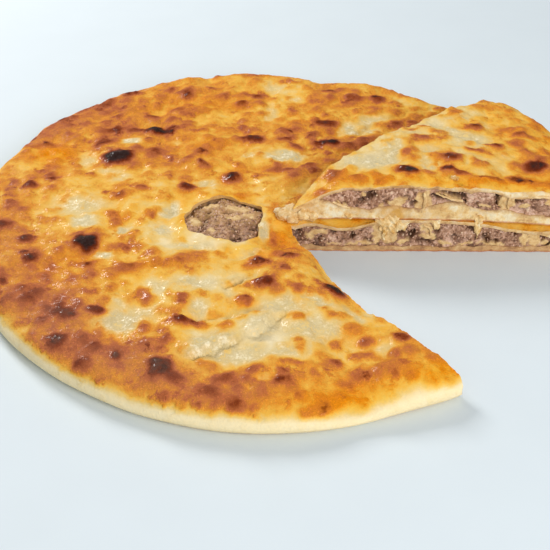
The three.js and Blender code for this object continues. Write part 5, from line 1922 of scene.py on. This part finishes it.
def crust_material(colours, group):
    """Baked dough: browned by the stored fields outside, pale crumb where it is cut."""
    material, tree, shader = new_material("browned_dough")
    spots = speckle(tree, group, *CRUST_SPECKLE)
    fine, beads = spots["Fine"], spots["Beads"]
    cut_face, bloom_and_painted_sheen = read_value(tree, "crumb"), read_value(tree, "bloom_and_painted_sheen")
    thin = thin_share(tree, spots)
    bake = browning(tree, spots, thin)
    outside = browned_colour(tree, colours, spots, bake, thin)
    colour = mix_colours(tree, cut_face, outside, crumb_colour(tree, colours, spots))
    crisp = bake.between(0.26, 0.46) * cut_face.between(0.0, 1.0, 1.0, 0.0)
    # Painted glints and shade: on the browned outside the peaks of the small beads are lightened and the
    # dips between them a little darkened; elsewhere only a faint random grain
    painted_glints = beads.between(0.3, 0.95, 0.95, 1.36) * fine.between(-0.25, 0.25, 0.9, 1.14)
    grain = mix_values(tree, crisp, fine.between(-0.25, 0.25, 0.95, 1.05), painted_glints)
    glaze = read_value(tree, "scorch") * 0.8 + read_value(tree, "oil")
    wet = (glaze - (bloom_and_painted_sheen * 0.15).math("MAXIMUM", cut_face)) * fine.between(-0.03, 0.22, 0.0, 0.85)
    height = spots["Height"] * crisp.between(0.0, 1.0, 0.6, 1.0) + beads * crisp * 0.16
    fill(tree, shader, {
        "Base Color": mix_colours(tree, 1.0, colour, grain, "MULTIPLY"),
        "Roughness": bloom_and_painted_sheen.math("MAXIMUM", cut_face) * 0.22 + fine * 0.2 + 0.46,
        "Coat Weight": wet.between(0.0, 1.0),
        "Coat Roughness": 0.16,
        "Specular IOR Level": 0.03,
        "Normal": bumped(tree, height, 0.8, 0.0018),
    })
    return material


def mince_material(colours, group):
    """Cooked mince: pinkish brown grains, painted shade in the gaps, and pale bits of fat."""
    material, tree, shader = new_material("cooked_mince")
    spots = speckle(tree, group, *MINCE_SPECKLE)
    coarse, fine = spots["Coarse"], spots["Fine"]
    tone = coarse * 0.8 + read_value(tree, "tone") + fine * 0.5
    colour = colour_ramp(tree, tone, colours, MINCE_RAMP)
    fat = (coarse + read_value(tree, "fat")).between(0.1, 0.4)
    colour = mix_colours(tree, fat * 0.6, colour, rgba(colours.onion))
    soft = mix_colours(tree, coarse.between(-0.15, 0.2), rgba(colours.onion), rgba(colours.crumb))
    colour = mix_colours(tree, read_value(tree, "onion"), colour, soft)
    fill(tree, shader, {
        # Painted shade: the gaps and hollows are darkened towards the darkest meat colour
        "Base Color": mix_colours(tree, read_value(tree, "gap") * 0.88, colour, rgba(colours.meat_dark_and_shade)),
        "Roughness": fine * 0.3 + 0.55,
        "Coat Weight": coarse.between(0.05, 0.3, 0.0, 0.35),
        "Coat Roughness": 0.25,
        "Normal": bumped(tree, spots["Height"], 0.7, 0.001),
    })
    return material


def onion_material(colours, group):
    """Soft cooked onion: tan and cream in random patches."""
    material, tree, shader = new_material("soft_onion")
    spots = speckle(tree, group, *ONION_SPECKLE)
    share = spots["Coarse"].between(-0.2, 0.2)
    fill(tree, shader, {
        "Base Color": mix_colours(tree, share, rgba(colours.onion), rgba(colours.crumb)),
        "Roughness": spots["Fine"] * 0.3 + 0.42,
        "Coat Weight": 0.15,
        "Coat Roughness": 0.2,
        "Normal": bumped(tree, spots["Height"], 0.5, 0.001),
    })
    return material


def torn_material(colours, group):
    """Torn dough: white and cream, with some gold."""
    material, tree, shader = new_material("torn_dough")
    spots = speckle(tree, group, *TORN_SPECKLE)
    fill(tree, shader, {
        "Base Color": colour_ramp(tree, spots["Coarse"] + 0.5, colours, TORN_RAMP),
        "Roughness": spots["Fine"] * 0.3 + 0.55,
        "Normal": bumped(tree, spots["Height"], 0.6, 0.001),
    })
    return material


def floor_material(colours):
    """A plain pale floor with a hardly visible grain."""
    material, tree, shader = new_material("stage_floor")
    where = add_node(tree, "ShaderNodeTexCoord").outputs["Object"]
    grain = noise_value(tree, where, 30.0).between(0.3, 0.7, 0.985, 1.0)
    fill(tree, shader, {
        "Base Color": mix_colours(tree, 1.0, rgba(colours.floor), grain, "MULTIPLY"),
        "Roughness": 0.7,
    })
    return material


# Operators


def shared_material(name, make):
    """A material that several pieces use, made when it is first asked for."""
    found = bpy.data.materials.get(name)
    if found:
        return found
    group = bpy.data.node_groups.get("speckle") or speckle_group()
    return make(bpy.context.scene.pie_colours, group)


class PIE_OT_stage(bpy.types.Operator):
    """Makes the floor, the light and the camera"""

    bl_idname = "pie.stage"
    bl_label = "Stage"

    def execute(self, context):
        build_stage(context.scene)
        return {"FINISHED"}


class PIE_OT_crusts(bpy.types.Operator):
    """Makes the baked dough of the pie and of the slice"""

    bl_idname = "pie.crusts"
    bl_label = "Crusts"

    def execute(self, context):
        material = shared_material("browned_dough", crust_material)
        build_pie_crust(context.scene.pie_sizes, material)
        build_slice_crust(context.scene.pie_sizes, material)
        return {"FINISHED"}


class PIE_OT_fillings(bpy.types.Operator):
    """Makes the minced filling of the pie and of the slice"""

    bl_idname = "pie.fillings"
    bl_label = "Fillings"

    def execute(self, context):
        sizes = context.scene.pie_sizes
        material = shared_material("cooked_mince", mince_material)
        fillings = [build_pie_filling(sizes, material), build_slice_filling(sizes, material)]
        grains = open_faces_object("mince_grains", fillings)
        grow(grains, grains_tree("scatter_grains", material), {
            "Radius": sizes.loose_grain,
            "Spacing": GRAIN_SPACING * sizes.loose_grain,
            "Density": GRAIN_DENSITY,
            "Seed": sizes.seed,
        })
        finish_piece(grains, material, FILLING_SLOT)
        return {"FINISHED"}


class PIE_OT_strips(bpy.types.Operator):
    """Makes the onion fibres and the torn crumbs of dough"""

    bl_idname = "pie.strips"
    bl_label = "Strips and Crumbs"

    def execute(self, context):
        sizes = context.scene.pie_sizes
        onion = shared_material("soft_onion", onion_material)
        torn = shared_material("torn_dough", torn_material)
        strips = routes_object("onion_strips", fibre_places())
        grow(strips, strips_tree("sweep_onion", onion), {
            "Thickness": sizes.strip_thickness,
            "Step": STRIP_STEP * MM,
            "Ripple": STRIP_RIPPLE * MM,
            "Fray": STRIP_FRAY * MM,
        })
        finish_piece(strips, onion, FILLING_SLOT)
        finish_piece(tears_object("dough_shreds", sizes), torn, DOUGH_SLOT)
        crumbs = crumbs_object("dough_crumbs")
        values = {"Lumps": CRUMB_LUMPS * MM, "Grain": CRUMB_GRAIN * MM}
        grow(crumbs, crumbs_tree("scatter_crumbs", torn), values)
        finish_piece(crumbs, torn, DOUGH_SLOT)
        return {"FINISHED"}


class PIE_PT_panel(bpy.types.Panel):
    """Lists the steps that build the pie"""

    bl_idname = "PIE_PT_panel"
    bl_label = "Pie"
    bl_space_type = "VIEW_3D"
    bl_region_type = "UI"
    bl_category = "Pie"

    def draw(self, context):
        for step in STEPS:
            self.layout.operator(step.bl_idname)
        for group in (context.scene.pie_sizes, context.scene.pie_colours):
            for name in group.__annotations__:
                self.layout.prop(group, name)


STEPS = (PIE_OT_stage, PIE_OT_crusts, PIE_OT_fillings, PIE_OT_strips)
CLASSES = (PieSizes, PieColours, *STEPS, PIE_PT_panel)


def area_light(name, place, size, power, colour):
    """A soft square light that looks at the pie."""
    light = bpy.data.lights.new(name, "AREA")
    light.shape = "SQUARE"
    light.size = size
    light.energy = power
    light.color = colour
    lamp = bpy.data.objects.new(name, light)
    lamp.location = place
    lamp.rotation_euler = (-Vector(place)).to_track_quat("-Z", "Y").to_euler()
    bpy.context.scene.collection.objects.link(lamp)


def build_camera(scene):
    """The camera, at the picture's viewing angle."""
    camera = bpy.data.objects.new("camera", bpy.data.cameras.new("camera"))
    camera.data.lens = CAMERA_LENS
    camera.data.sensor_width = SENSOR
    camera.location = CAMERA_PLACE
    way = Vector(CAMERA_TARGET) - Vector(CAMERA_PLACE)
    camera.rotation_euler = way.to_track_quat("-Z", "Y").to_euler()
    scene.collection.objects.link(camera)
    scene.camera = camera


def build_stage(scene):
    """A pale floor under soft light."""
    half = FLOOR_SIZE / 2 / MM
    drop = -FLOOR_DROP / MM
    corners = [(-half, -half, drop), (half, -half, drop), (half, half, drop), (-half, half, drop)]
    floor = new_object("stage_floor", corners, [(0, 1, 2, 3)])
    floor.data.materials.append(floor_material(scene.pie_colours))
    world = bpy.data.worlds.new("soft_room")
    world.use_nodes = True
    sky = world.node_tree.nodes["Background"]
    sky.inputs["Color"].default_value = SKY_COLOUR
    sky.inputs["Strength"].default_value = SKY_STRENGTH
    scene.world = world
    for light in LIGHTS:
        area_light(*light)
    build_camera(scene)
    scene.view_settings.view_transform = "Standard"


def register():
    """Registers the classes and the scene's settings."""
    for each in CLASSES:
        bpy.utils.register_class(each)
    bpy.types.Scene.pie_sizes = PointerProperty(type=PieSizes)
    bpy.types.Scene.pie_colours = PointerProperty(type=PieColours)


def unregister():
    """Takes the classes and settings away again."""
    del bpy.types.Scene.pie_colours
    del bpy.types.Scene.pie_sizes
    for each in reversed(CLASSES):
        bpy.utils.unregister_class(each)


def main():
    """Builds everything in order."""
    register()
    bpy.ops.pie.stage()
    bpy.ops.pie.crusts()
    bpy.ops.pie.fillings()
    bpy.ops.pie.strips()


if __name__ == "__main__":
    main()
